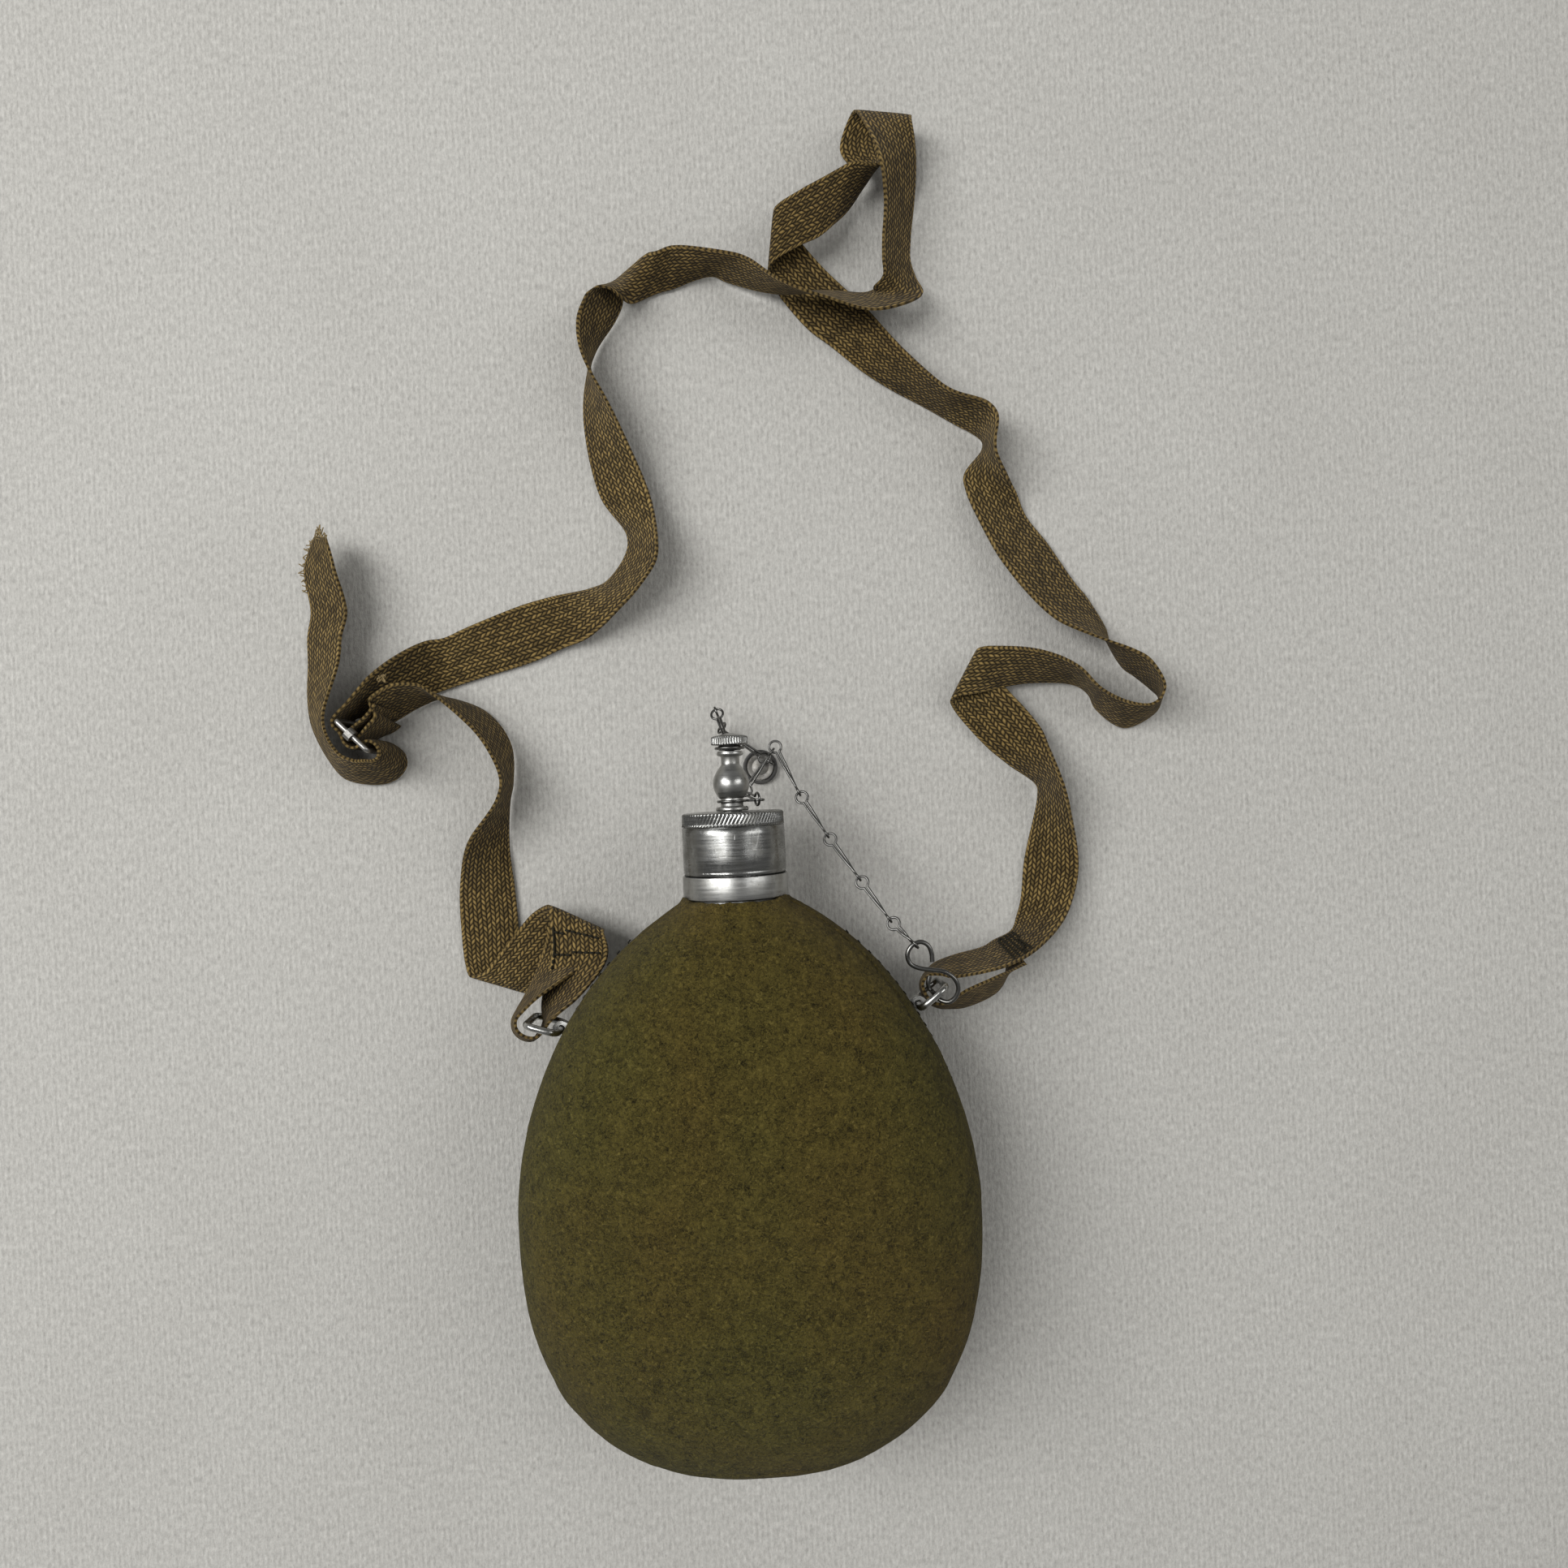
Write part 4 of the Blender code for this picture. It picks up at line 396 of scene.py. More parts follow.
# Sewing: rows of dark twisted cotton thread, three quarters of a millimetre thick, where each tape end
# is sewn back on itself. The long tape's raw tip has come apart in loose yarns, and a pale knot of yarn
# sits by the buckle.
def tube(points, radius, sides, closed=False):
    """Points and faces of a round wire along a line, with frames carried along it."""
    points = [Vector(p) for p in points]
    count = len(points)
    tangents = []
    for i in range(count):
        before = points[i - 1] if closed or i > 0 else points[i]
        after = points[(i + 1) % count] if closed or i < count - 1 else points[i]
        tangents.append((after - before).normalized())
    normal = tangents[0].orthogonal().normalized()
    frames = [normal]
    for i in range(1, count):
        normal = tangents[i - 1].rotation_difference(tangents[i]) @ normal
        normal = (normal - tangents[i] * normal.dot(tangents[i])).normalized()
        frames.append(normal)
    slip = 0.0
    if closed:
        last = tangents[-1].rotation_difference(tangents[0]) @ frames[-1]
        slip = math.atan2(last.cross(frames[0]).dot(tangents[0]), last.dot(frames[0]))
    rings = []
    for i in range(count):
        up = tangents[i].cross(frames[i])
        for k in range(sides):
            angle = 2.0 * math.pi * k / sides + slip * i / count
            rings.append(points[i] + (frames[i] * math.cos(angle) + up * math.sin(angle)) * radius)
    faces = []
    for i in range(count if closed else count - 1):
        j = (i + 1) % count
        for k in range(sides):
            m = (k + 1) % sides
            faces.append((i * sides + k, i * sides + m, j * sides + m, j * sides + k))
    if not closed:
        faces.append(tuple(range(sides)))
        faces.append(tuple((count - 1) * sides + k for k in range(sides)))
    return rings, faces


def many_tubes(name, lines, radius, sides, finish, body):
    """Several threads or wires made as one piece."""
    points = []
    faces = []
    for line in lines:
        more, sides_of = tube(line, radius, sides)
        faces += [tuple(len(points) + k for k in face) for face in sides_of]
        points += more
    return piece(name, points, faces, finish, body)


def cotton_thread(name, dark, pale):
    """Twisted cotton, its own colour on its plies, with painted shade between them."""
    made, tree, shader, where = new_finish(name, pale, 0.85)
    ply = grain(tree, where, (3200.0,) * 3, 2.0, 0.7)
    base = blend_colours(tree, spread(tree, ply, 0.3, 0.7), (*dark, 1.0), (*pale, 1.0))
    tree.links.new(base, shader.inputs["Base Color"])
    raise_grain(tree, shader, ply, 0.5, 0.0002)
    matt(shader, 0.12, 0.02)
    return made


def sewn_row(stations, start, end, share_from, share_to, count):
    """A row of short stitches across or along a tape, each arched over its face."""
    lines = []
    for i in range(count):
        a = i / count
        b = (i + STITCH_SHARE) / count
        line = []
        for s, lift in ((a, STITCH_FOOT), ((a + b) / 2.0, STITCH_ARCH), (b, STITCH_FOOT)):
            share = share_from + (share_to - share_from) * s
            line.append(on_tape(stations, start + (end - start) * s, share, lift))
        lines.append(line)
    return lines


THREAD_RADIUS = 0.38
STITCH_SHARE = 0.72
STITCH_ARCH = 0.62
STITCH_FOOT = 0.2
LONG_SEWN_AT = 83.0
SHORT_SEWN_AT = (76.5, 83.0)
dark_thread = cotton_thread("dark_thread", (0.006, 0.005, 0.003), (0.026, 0.023, 0.014))
stitches = []
for k in range(5):
    row_at = LONG_SEWN_AT + 1.9 * k
    stitches += sewn_row(long_places, row_at, row_at + 0.6, 0.06, 0.94, 8)
for row_at in SHORT_SEWN_AT:
    stitches += sewn_row(short_places, row_at, row_at + 0.8, 0.08, 0.92, 8)
stitches += sewn_row(short_places, 71.0, 84.0, 0.07, 0.07, 6)
sewing = many_tubes("tape_stitches", stitches, THREAD_RADIUS, 6, dark_thread, "flask")

YARN_RADIUS = 0.21
TIP_YARNS = 26
EDGE_YARNS = 34
EDGE_YARN_SPACING = 0.55
FRAYED_LENGTH = 19.0
KNOT_AT = Vector((-115.0, 174.1, 20.9))
KNOT_TURNS = 3
KNOT_POINTS = 13
loose_yarn = cotton_thread("loose_yarn", (0.09, 0.062, 0.026), (0.30, 0.225, 0.11))
tip = long_places[-1][3]
frays = []
for k in range(TIP_YARNS):
    share = 0.03 + 0.94 * k / (TIP_YARNS - 1)
    root = on_tape(long_places, tip - 1.5, share, -0.5)
    ahead = on_tape(long_places, tip, share, 0.0) - on_tape(long_places, tip - 3.0, share, 0.0)
    ahead.normalize()
    twist = Vector((math.sin(2.3 * k), math.cos(1.7 * k), 0.4 * math.sin(3.1 * k)))
    length = 3.6 + 1.5 * math.sin(1.9 * k)
    frays.append([root, root + ahead * length * 0.6 + twist * 0.4, root + ahead * length + twist * 1.3])
for k in range(EDGE_YARNS):
    back = tip - FRAYED_LENGTH + EDGE_YARN_SPACING * k
    root = on_tape(long_places, back, 0.03, -0.2)
    away = (root - on_tape(long_places, back, 0.3, -0.2)).normalized()
    twist = Vector((math.cos(2.9 * k), math.sin(1.3 * k), 0.3))
    length = 0.9 + 0.8 * math.sin(0.9 * k) ** 2
    frays.append([root, root + away * length * 0.6 + twist * 0.3, root + away * length + twist * 1.1])
knot = []
for k in range(KNOT_TURNS * KNOT_POINTS + 1):
    turn = 2.0 * math.pi * k / KNOT_POINTS
    size = 1.0 + 0.5 * math.sin(1.7 * k)
    knot.append(KNOT_AT + Vector((math.cos(turn), math.sin(1.3 * turn), 0.6 * math.sin(2.1 * turn))) * size)
frays.append(spline(knot, 0.5))
fray = many_tubes("tape_loose_yarns", frays, YARN_RADIUS, 5, loose_yarn, "flask")


# Ground: a pale cloth with fine upright ribs, spread flat on a table. Light: the room's own, and two broad
# soft lamps, the stronger on the left, at a level where a colour shows about as it is written. Its walls
# look greyer than the light they give. The ground only stages the canteen and isn't part of it.
GROUND_REACH = 3.0
GROUND_RIBS = 520.0
GROUND_FURROW = (0.262, 0.255, 0.238, 1.0)
GROUND_THREAD = (0.510, 0.500, 0.469, 1.0)
LAMPS = (("left_lamp", -0.96, 31.0), ("right_lamp", 1.52, 10.0))
LAMP_Y = 0.5
LAMP_HEIGHT = 1.44
LAMP_WIDTH = 0.64
LAMP_LENGTH = 1.44
LAMPS_AIM = Vector((0.0, 0.1, 0.0))
ROOM_LIGHT = (0.432, 0.432, 0.427, 1.0)
ROOM_WALL = (0.165, 0.165, 0.163, 1.0)


def ground_cloth():
    """Pale cotton cloth: fine ribs, uneven threads along them, and a soft shade here and there."""
    made, tree, shader, where = new_finish("ground_cloth", (0.386, 0.378, 0.354), 0.95)
    split = add(tree, "SeparateXYZ", ((0, where),))
    sway = spread(tree, grain(tree, where, (60.0, 18.0, 60.0), 3.0), 0.3, 0.7, -1.4, 1.4)
    phase = calc(tree, "MULTIPLY", split.outputs[0], 2.0 * math.pi * GROUND_RIBS)
    ribs = calc(tree, "SINE", calc(tree, "ADD", phase, sway))
    slub = grain(tree, where, (1000.0, 330.0, 1000.0), 3.0, 0.7)
    nap = grain(tree, where, (640.0, 520.0, 640.0), 3.0, 0.75)
    soft = grain(tree, where, (14.0, 10.0, 14.0), 4.0, 0.55)
    mix = calc(tree, "ADD", spread(tree, ribs, -1.0, 1.0, 0.0, 0.12),
               spread(tree, slub, 0.3, 0.7, 0.0, 0.48))
    mix = calc(tree, "ADD", mix, spread(tree, nap, 0.3, 0.7, 0.0, 0.40))
    base = blend_colours(tree, mix, GROUND_FURROW, GROUND_THREAD)
    shade = blend_colours(tree, spread(tree, soft, 0.35, 0.65), (0.975, 0.972, 0.97, 1.0),
                          (1.02, 1.02, 1.02, 1.0))
    tree.links.new(blend_colours(tree, 1.0, base, shade, "MULTIPLY"), shader.inputs["Base Color"])
    raise_grain(tree, shader, mix, 0.45, 0.0006)
    matt(shader, 0.1)
    return made


ground_corners = [(-GROUND_REACH, -GROUND_REACH, 0.0), (GROUND_REACH, -GROUND_REACH, 0.0),
                  (GROUND_REACH, GROUND_REACH, 0.0), (-GROUND_REACH, GROUND_REACH, 0.0)]
sheet_of_ground = bpy.data.meshes.new("ground")
sheet_of_ground.from_pydata(ground_corners, [], [(0, 1, 2, 3)])
sheet_of_ground.materials.append(ground_cloth())
ground = bpy.data.objects.new("ground", sheet_of_ground)
ground.location = (0.0, 0.1, -0.0002)
bpy.context.scene.collection.objects.link(ground)

for name, x, power in LAMPS:
    glow = bpy.data.lights.new(name, "AREA")
    glow.shape = "RECTANGLE"
    glow.size = LAMP_WIDTH
    glow.size_y = LAMP_LENGTH
    glow.energy = power
    lamp = bpy.data.objects.new(name, glow)
    lamp.location = (x, LAMP_Y, LAMP_HEIGHT)
    lamp.rotation_euler = (LAMPS_AIM - lamp.location).to_track_quat("-Z", "Y").to_euler()
    bpy.context.scene.collection.objects.link(lamp)
room = bpy.data.worlds.new("room")
room.use_nodes = True
rays = add(room.node_tree, "LightPath").outputs
shown = calc(room.node_tree, "MAXIMUM", rays["Is Camera Ray"], rays["Is Glossy Ray"])
shown = calc(room.node_tree, "MAXIMUM", shown, rays["Is Transmission Ray"])
seen_or_lit = blend_colours(room.node_tree, shown, ROOM_LIGHT, ROOM_WALL)
room.node_tree.links.new(seen_or_lit, room.node_tree.nodes["Background"].inputs[0])
bpy.context.scene.world = room
bpy.context.scene.view_settings.view_transform = "Standard"


# Flask: one deep-drawn aluminium bottle of about a litre, wall 1.2 mm. The cover hides all but its neck,
# so the solid of the bench drawing stays, in bare aluminium with a drawn grain.
def bare_metal(name, colour, roughness, stretch, scratch, grime):
    """Worn metal: fine lines along one way, stray scratches, and dull patches."""
    made, tree, shader, where = new_finish(name, colour, roughness, 1.0)
    lines = grain(tree, where, stretch, 4.0, 0.75)
    patch = grain(tree, where, (190.0, 150.0, 170.0), 4.0, 0.65)
    speck = grain(tree, where, (1500.0,) * 3, 2.0, 0.6)
    strokes = grain(tree, where, (stretch[1] * 0.25, stretch[0] * 1.3, stretch[2] * 3.0), 1.0, 0.5, 0.4)
    stroke = spread(tree, strokes, 0.60, 0.66)
    dull = calc(tree, "ADD", spread(tree, patch, 0.42, 0.68, 0.0, grime),
                spread(tree, speck, 0.62, 0.75, 0.0, grime * 0.7))
    dirt = (colour[0] * 0.42, colour[1] * 0.40, colour[2] * 0.35, 1.0)
    furrow = tuple(c * 0.84 for c in colour) + (1.0,)
    crest = tuple(min(1.0, c * 1.1) for c in colour) + (1.0,)
    lit = blend_colours(tree, spread(tree, lines, 0.3, 0.7), furrow, crest)
    tree.links.new(blend_colours(tree, dull, lit, dirt), shader.inputs["Base Color"])
    rough = calc(tree, "ADD", spread(tree, lines, 0.3, 0.7, roughness - 0.07, roughness + 0.1),
                 calc(tree, "MULTIPLY", dull, 0.25))
    tree.links.new(rough, shader.inputs["Roughness"])
    height = calc(tree, "SUBTRACT", lines, calc(tree, "MULTIPLY", stroke, scratch))
    height = calc(tree, "SUBTRACT", height, calc(tree, "MULTIPLY", dull, 0.5))
    raise_grain(tree, shader, height, 0.35, 0.0001)
    return made


def keep(node, finish):
    """A solid of the bench drawing that stays, in its real finish."""
    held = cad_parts[node]
    held.data.materials.clear()
    held.data.materials.append(finish)


drawn_aluminium = bare_metal("drawn_aluminium", (0.55, 0.55, 0.53), 0.40, (40.0, 40.0, 900.0), 0.8, 0.5)
keep("flask_shell", drawn_aluminium)


# Felt cover: two halves of thick olive wool felt, 2.5 mm, thinner where it is pulled up round the neck.
# They are sewn along the sides and the base, and stretched over the flask. The neck edge is cut raw.
AXIS_Z = 37.0
WIDEST_Y = -0.3
BODY_HALF_WIDTH = 73.1
BODY_HALF_DEPTH = 37.0
REST_DEPTH = 38.2
BELOW_WIDEST = 81.0
ABOVE_WIDEST = 100.2
NECK_HALF_WIDTH = 15.2
NECK_HALF_DEPTH = 16.2
COVER_TOP_Y = 97.4
FELT_THICKNESS = 2.5
FELT_AT_NECK = 1.5
THINNER_FROM_Y = 80.0
RAGGED_FROM_Y = 92.0
SEAM_GAP = 0.15
COVER_COLUMNS = 150
COVER_ROWS = 60
DARK_WOOL = (0.0065, 0.0052, 0.0007, 1.0)
OLIVE_WOOL = (0.105, 0.0825, 0.0185, 1.0)
WOOL_FUZZ = (0.164, 0.129, 0.041, 1.0)
# The stain colour and the marks: the first two marks are real stains low on the front; the last two are
# painted shade in the slit where the right lug comes through.
FELT_STAIN_AND_SLIT_SHADE = (0.013, 0.010, 0.003, 1.0)
FELT_STAINS_AND_SLIT_SHADE = (((-0.0326, -0.0488, 0.0674), 0.0036, 0.42), ((-0.0295, -0.0655, 0.0613), 0.0028, 0.38),
              ((0.0520, 0.0600, 0.0490), 0.0016, 0.75), ((0.0512, 0.0640, 0.0480), 0.0016, 0.75))


def bulge(size, t, fullness):
    """Half of a size at a share t of the way from the widest place to the end."""
    return size * (1.0 - min(1.0, t) ** fullness) ** (1.0 / fullness)


def half_width(y):
    """Half the dressed body's width at a height, from the base up into the neck."""
    if y < WIDEST_Y:
        return bulge(BODY_HALF_WIDTH, (WIDEST_Y - y) / BELOW_WIDEST, 2.51)
    shoulder = bulge(BODY_HALF_WIDTH, (y - WIDEST_Y) / ABOVE_WIDEST, 1.81)
    return (shoulder ** 4 + NECK_HALF_WIDTH ** 4) ** 0.25


def half_depth(y, depth):
    """How far one face stands off the seam at a height, where it is depth at the widest place."""
    if y < WIDEST_Y:
        return bulge(depth, (WIDEST_Y - y) / BELOW_WIDEST, 2.76)
    shoulder = bulge(depth, (y - WIDEST_Y) / ABOVE_WIDEST, 2.2)
    return (shoulder ** 4 + NECK_HALF_DEPTH ** 4) ** 0.25


def inset(curve, y, depth):
    """A curve moved in by depth square to itself, read at height y."""
    low = y - depth
    high = y + depth
    for _ in range(24):
        at = (low + high) / 2.0
        slope = (curve(at + 0.05) - curve(at - 0.05)) / 0.1
        lean = math.sqrt(1.0 + slope * slope)
        if at + depth * slope / lean < y:
            low = at
        else:
            high = at
    return curve(at) - depth / lean


def felt_thickness(y):
    """The felt's thickness at a height: it is pulled thin up round the neck."""
    pulled = min(1.0, max(0.0, (y - THINNER_FROM_Y) / (COVER_TOP_Y - THINNER_FROM_Y)))
    return FELT_THICKNESS + (FELT_AT_NECK - FELT_THICKNESS) * pulled


def cover_point(y, wide, deep, angle, depth_in, front):
    """Where a skin of a half width and depth passes at an angle round it."""
    power = 2.0 / (2.3 - 0.3 * min(1.0, max(0.0, (y - 60.0) / 36.0)))
    x = wide * math.copysign(abs(math.cos(angle)) ** power, math.cos(angle))
    up = deep * abs(math.sin(angle)) ** power
    if front:
        return x, AXIS_Z + SEAM_GAP + up
    return x, max(depth_in, AXIS_Z - SEAM_GAP - up)


def dent(distance, width):
    """A soft groove: 1 on its line, 0 a width away."""
    return max(0.0, 1.0 - (distance / width) ** 2) ** 2 if abs(distance) < width else 0.0


def felt_relief(x, y, z, angle, front):
    """How far the felt's face stands off its even shape, in millimetres."""
    where = Vector((x, y, z))
    rise = 0.28 * noise.noise(where * 0.045) + 0.14 * noise.noise(where * 0.14 + Vector((9.0, 0.0, 0.0)))
    rise += 0.05 * noise.noise(where * 0.5)
    side = min(angle, math.pi - angle)
    if front:
        rise -= 0.5 * dent(y - 86.6 + 0.04 * x, 1.7) * max(0.0, 1.0 - abs(x) / 15.0)
        rise -= 0.6 * dent(y + 73.5, 1.1) * max(0.0, 1.0 - abs((x + 4.0) / 32.0) ** 4)
        slit = math.hypot(x - 52.2 + 0.3 * (y - 62.5), 0.16 * (y - 62.5))
        rise -= 1.3 * dent(slit, 0.8)
        rise -= 0.5 * dent(side - (0.30 if x > 0.0 else 0.24), 0.04) * min(1.0, max(0.0, (y - 58.0) / 8.0))
    rise += 0.9 * max(0.0, 1.0 - side / 0.5) * (dent(y + 56.0 + 0.04 * x, 6.0) + dent(y + 72.0, 4.0))
    rise -= 0.75 * dent(side, 0.035) * min(1.0, max(0.0, (94.0 - y) / 10.0))
    return rise


def neck_raggedness(x, front):
    """How much further the raw neck edge reaches, by where it is round the neck."""
    edge = 0.55 * noise.noise(Vector((x * 0.32, 5.0, 1.0 if front else 8.0)))
    edge += 0.3 * noise.noise(Vector((x * 1.1, 2.0, 1.0 if front else 8.0)))
    if front:
        edge += 1.3 * dent(x + 16.0, 2.6) + 1.0 * dent(x - 15.6, 2.4)
    return edge


def cover_half(name, node, front, finish):
    """One half of the cover: an outer and an inner skin, joined at the seam and at the neck edge."""
    points = []
    faces = []
    rows = []
    for i in range(COVER_ROWS):
        rows.append(WIDEST_Y - BELOW_WIDEST * math.cos(0.5 * math.pi * (i + 1) / COVER_ROWS))
    for i in range(COVER_ROWS):
        rows.append(WIDEST_Y + (COVER_TOP_Y - WIDEST_Y) * (1.0 - (1.0 - (i + 1) / COVER_ROWS) ** 1.25))
    bottom = WIDEST_Y - BELOW_WIDEST
    grids = []
    for inner in (False, True):
        start = len(points)
        pole_y = bottom + (FELT_THICKNESS if inner else 0.0)
        points.append((0.0, pole_y, AXIS_Z + (SEAM_GAP if front else -SEAM_GAP)))
        grid = []
        for y in rows:
            depth_in = felt_thickness(y) if inner else 0.0
            if inner:
                y = max(y, bottom + FELT_THICKNESS + 0.1)
            depth = BODY_HALF_DEPTH if front else REST_DEPTH
            wide = inset(half_width, y, depth_in)
            deep = inset(lambda v: half_depth(v, depth), y, depth_in)
            row = []
            for j in range(COVER_COLUMNS + 1):
                angle = math.pi * j / COVER_COLUMNS
                x, z = cover_point(y, wide, deep, angle, depth_in, front)
                at_top = max(0.0, (y - RAGGED_FROM_Y) / (COVER_TOP_Y - RAGGED_FROM_Y))
                row.append(len(points))
                points.append((x, y + at_top * neck_raggedness(x, front), z))
            grid.append(row)
        grids.append((start, grid))
    (pole_out, out), (pole_in, into) = grids
    for start, grid in grids:
        for j in range(COVER_COLUMNS):
            faces.append((start, grid[0][j], grid[0][j + 1]))
        for i in range(len(grid) - 1):
            for j in range(COVER_COLUMNS):
                faces.append((grid[i][j], grid[i + 1][j], grid[i + 1][j + 1], grid[i][j + 1]))
    for j in (0, COVER_COLUMNS):
        faces.append((pole_out, out[0][j], into[0][j], pole_in))
        for i in range(len(out) - 1):
            faces.append((out[i][j], out[i + 1][j], into[i + 1][j], into[i][j]))
    for j in range(COVER_COLUMNS):
        faces.append((out[-1][j], out[-1][j + 1], into[-1][j + 1], into[-1][j]))
    made = piece(name, points, faces, finish, "flask", 60.0)
    mesh = made.data
    outside = {index: j for row in out for j, index in enumerate(row)}
    normals = [Vector(v.normal) for v in mesh.vertices]
    for index, j in outside.items():
        at = mesh.vertices[index].co / MM
        rise = felt_relief(at.x, at.y, at.z, math.pi * j / COVER_COLUMNS, front)
        if not front and at.z < 0.4:
            rise = 0.0
        mesh.vertices[index].co += normals[index] * (rise * MM)
        mesh.vertices[index].co.z = max(mesh.vertices[index].co.z, 0.0)
    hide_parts(node)
    return made


def olive_felt():
    """Wool felt: matted fibres, pale fuzz, browner where hands have worn it, two dark stains, and painted
    shade in the slit by the right lug.
    """
    made, tree, shader, where = new_finish("olive_felt", (0.069, 0.053, 0.015), 0.95)
    broad = grain(tree, where, (14.0, 10.0, 14.0), 3.0, 0.5)
    mottle = grain(tree, where, (210.0,) * 3, 4.0, 0.6, 0.4)
    fleck = grain(tree, where, (1000.0,) * 3, 3.0, 0.75, 1.0)
    fibre = grain(tree, where, (2300.0, 1500.0, 2300.0), 2.0, 0.7, 2.5)
    body = calc(tree, "ADD", calc(tree, "MULTIPLY", mottle, 0.18), calc(tree, "MULTIPLY", fleck, 0.52))
    body = calc(tree, "ADD", body, calc(tree, "MULTIPLY", fibre, 0.30))
    wool = blend_colours(tree, spread(tree, body, 0.38, 0.62), DARK_WOOL, OLIVE_WOOL)
    wool = blend_colours(tree, spread(tree, fleck, 0.60, 0.72, 0.0, 0.55), wool, WOOL_FUZZ)
    tint = blend_colours(tree, spread(tree, broad, 0.40, 0.62), (0.94, 1.0, 0.97, 1.0),
                         (1.10, 1.01, 0.98, 1.0))
    wool = blend_colours(tree, 1.0, wool, tint, "MULTIPLY")
    # Two real stains, and painted shade in the slit by the right lug.
    for spot_at, size, shade in FELT_STAINS_AND_SLIT_SHADE:
        gap = add(tree, "VectorMath", ((0, where), (1, spot_at)), operation="DISTANCE").outputs["Value"]
        gap = calc(tree, "ADD", gap, calc(tree, "MULTIPLY", fleck, size))
        wool = blend_colours(tree, spread(tree, gap, size * 0.9, size * 1.6, shade, 0.0), wool, FELT_STAIN_AND_SLIT_SHADE)
    tree.links.new(wool, shader.inputs["Base Color"])
    height = calc(tree, "ADD", calc(tree, "MULTIPLY", fleck, 0.7), calc(tree, "MULTIPLY", fibre, 0.5))
    height = calc(tree, "ADD", height, calc(tree, "MULTIPLY", mottle, 0.9))
    raise_grain(tree, shader, height, 0.9, 0.0008)
    matt(shader, 0.08, 0.04)
    return made


felt = olive_felt()
front_cover = cover_half("felt_front", "cover_front", True, felt)
back_cover = cover_half("felt_back", "cover_back", False, felt)
SEAM_LOW_Y = -62.0
SEAM_STITCHES = 44
SEAM_PITCH = 3.4
SEAM_THREAD_RADIUS = 0.24
seam = []
for hand in (-1.0, 1.0):
    for k in range(SEAM_STITCHES):
        y = SEAM_LOW_Y + SEAM_PITCH * k
        wide = half_width(y) - 0.35
        seam.append([Vector((hand * (wide - 0.5), y, AXIS_Z + 1.7)), Vector((hand * wide, y + 0.6, AXIS_Z)),
                     Vector((hand * (wide - 0.5), y + 1.2, AXIS_Z - 1.7))])
many_tubes("cover_seam_stitches", seam, SEAM_THREAD_RADIUS, 5, dark_thread, "flask")


# Lugs: two small cast arches riveted to the flask, standing out through slits in the cover.
# Shoulder links: an upright rectangle of bent aluminium rod, one in each lug, which the strap passes round.
LINK_STOCK = 1.15
LINK_REACH = 10.3
LINK_HALF_HEIGHT = 8.85
LINK_CORNER = 3.0
LINK_Z = 31.5
LINK_PIVOTS = (("right", 56.954, 60.194, 38.1), ("left", -58.595, 57.358, 162.8))
UP = Vector((0.0, 0.0, 1.0))
cast_aluminium = bare_metal("cast_aluminium", (0.58, 0.58, 0.56), 0.42, (300.0, 300.0, 300.0), 0.5, 0.7)
keep("lug_right", cast_aluminium)
keep("lug_left", cast_aluminium)
bent_rod = bare_metal("bent_rod", (0.48, 0.48, 0.46), 0.24, (300.0, 300.0, 90.0), 0.4, 0.3)


def wire(name, node, points, radius, finish, body, sides=12, closed=True):
    """A bent wire that stands for a solid of the bench drawing."""
    rings, faces = tube(points, radius, sides, closed)
    made = piece(name, rings, faces, finish, body, 60.0)
    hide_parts(node)
    return made


def bent_frame(origin, out, far, near, high, low, corner, steps):
    """Centre line of an upright rectangle of rod with round bends, between near and far along out."""
    line = []
    for along, height, start in ((far - corner, high - corner, 0.0), (near + corner, high - corner, 90.0),
                                 (near + corner, low + corner, 180.0), (far - corner, low + corner, 270.0)):
        for k in range(steps + 1):
            turn = math.radians(start + 90.0 * k / steps)
            level = origin + out * (along + corner * math.cos(turn))
            line.append(level + UP * (height + corner * math.sin(turn)))
    return line


for side, pivot_x, pivot_y, bearing in LINK_PIVOTS:
    out = Vector((math.cos(math.radians(bearing)), math.sin(math.radians(bearing)), 0.0))
    rod = bent_frame(Vector((pivot_x, pivot_y, LINK_Z)), out, LINK_REACH, 0.0,
                     LINK_HALF_HEIGHT, -LINK_HALF_HEIGHT, LINK_CORNER, 8)
    link = "shoulder_link_" + side
    wire("strap_link_" + side, link, rod, LINK_STOCK, bent_rod, link, 14)


# Neck collar: a turned aluminium ring with a coarse two-turn thread, pressed over the flask's neck. The
# cover's raw edge comes up against its skirt.
NECK_BORE = 14.2
COLLAR_RADIUS = 16.7
THREAD_ROOT = 13.4
THREAD_DEPTH = 0.9
THREAD_PITCH = 3.0
THREAD_TURNS = 2.0
THREAD_CREST = 0.30
THREAD_FOOT = 0.62
CAP_BORE = THREAD_ROOT + THREAD_DEPTH + 0.35


def softened(profile, size):
    """A profile with each corner broken by a small curve."""
    out = []
    count = len(profile)
    for i in range(count):
        before = Vector(profile[i - 1])
        here = Vector(profile[i])
        after = Vector(profile[(i + 1) % count])
        back = before - here
        ahead = after - here
        a = here + back.normalized() * min(size, back.length * 0.4)
        b = here + ahead.normalized() * min(size, ahead.length * 0.4)
        out += [tuple(a), tuple(a * 0.25 + here * 0.5 + b * 0.25), tuple(b)]
    return out


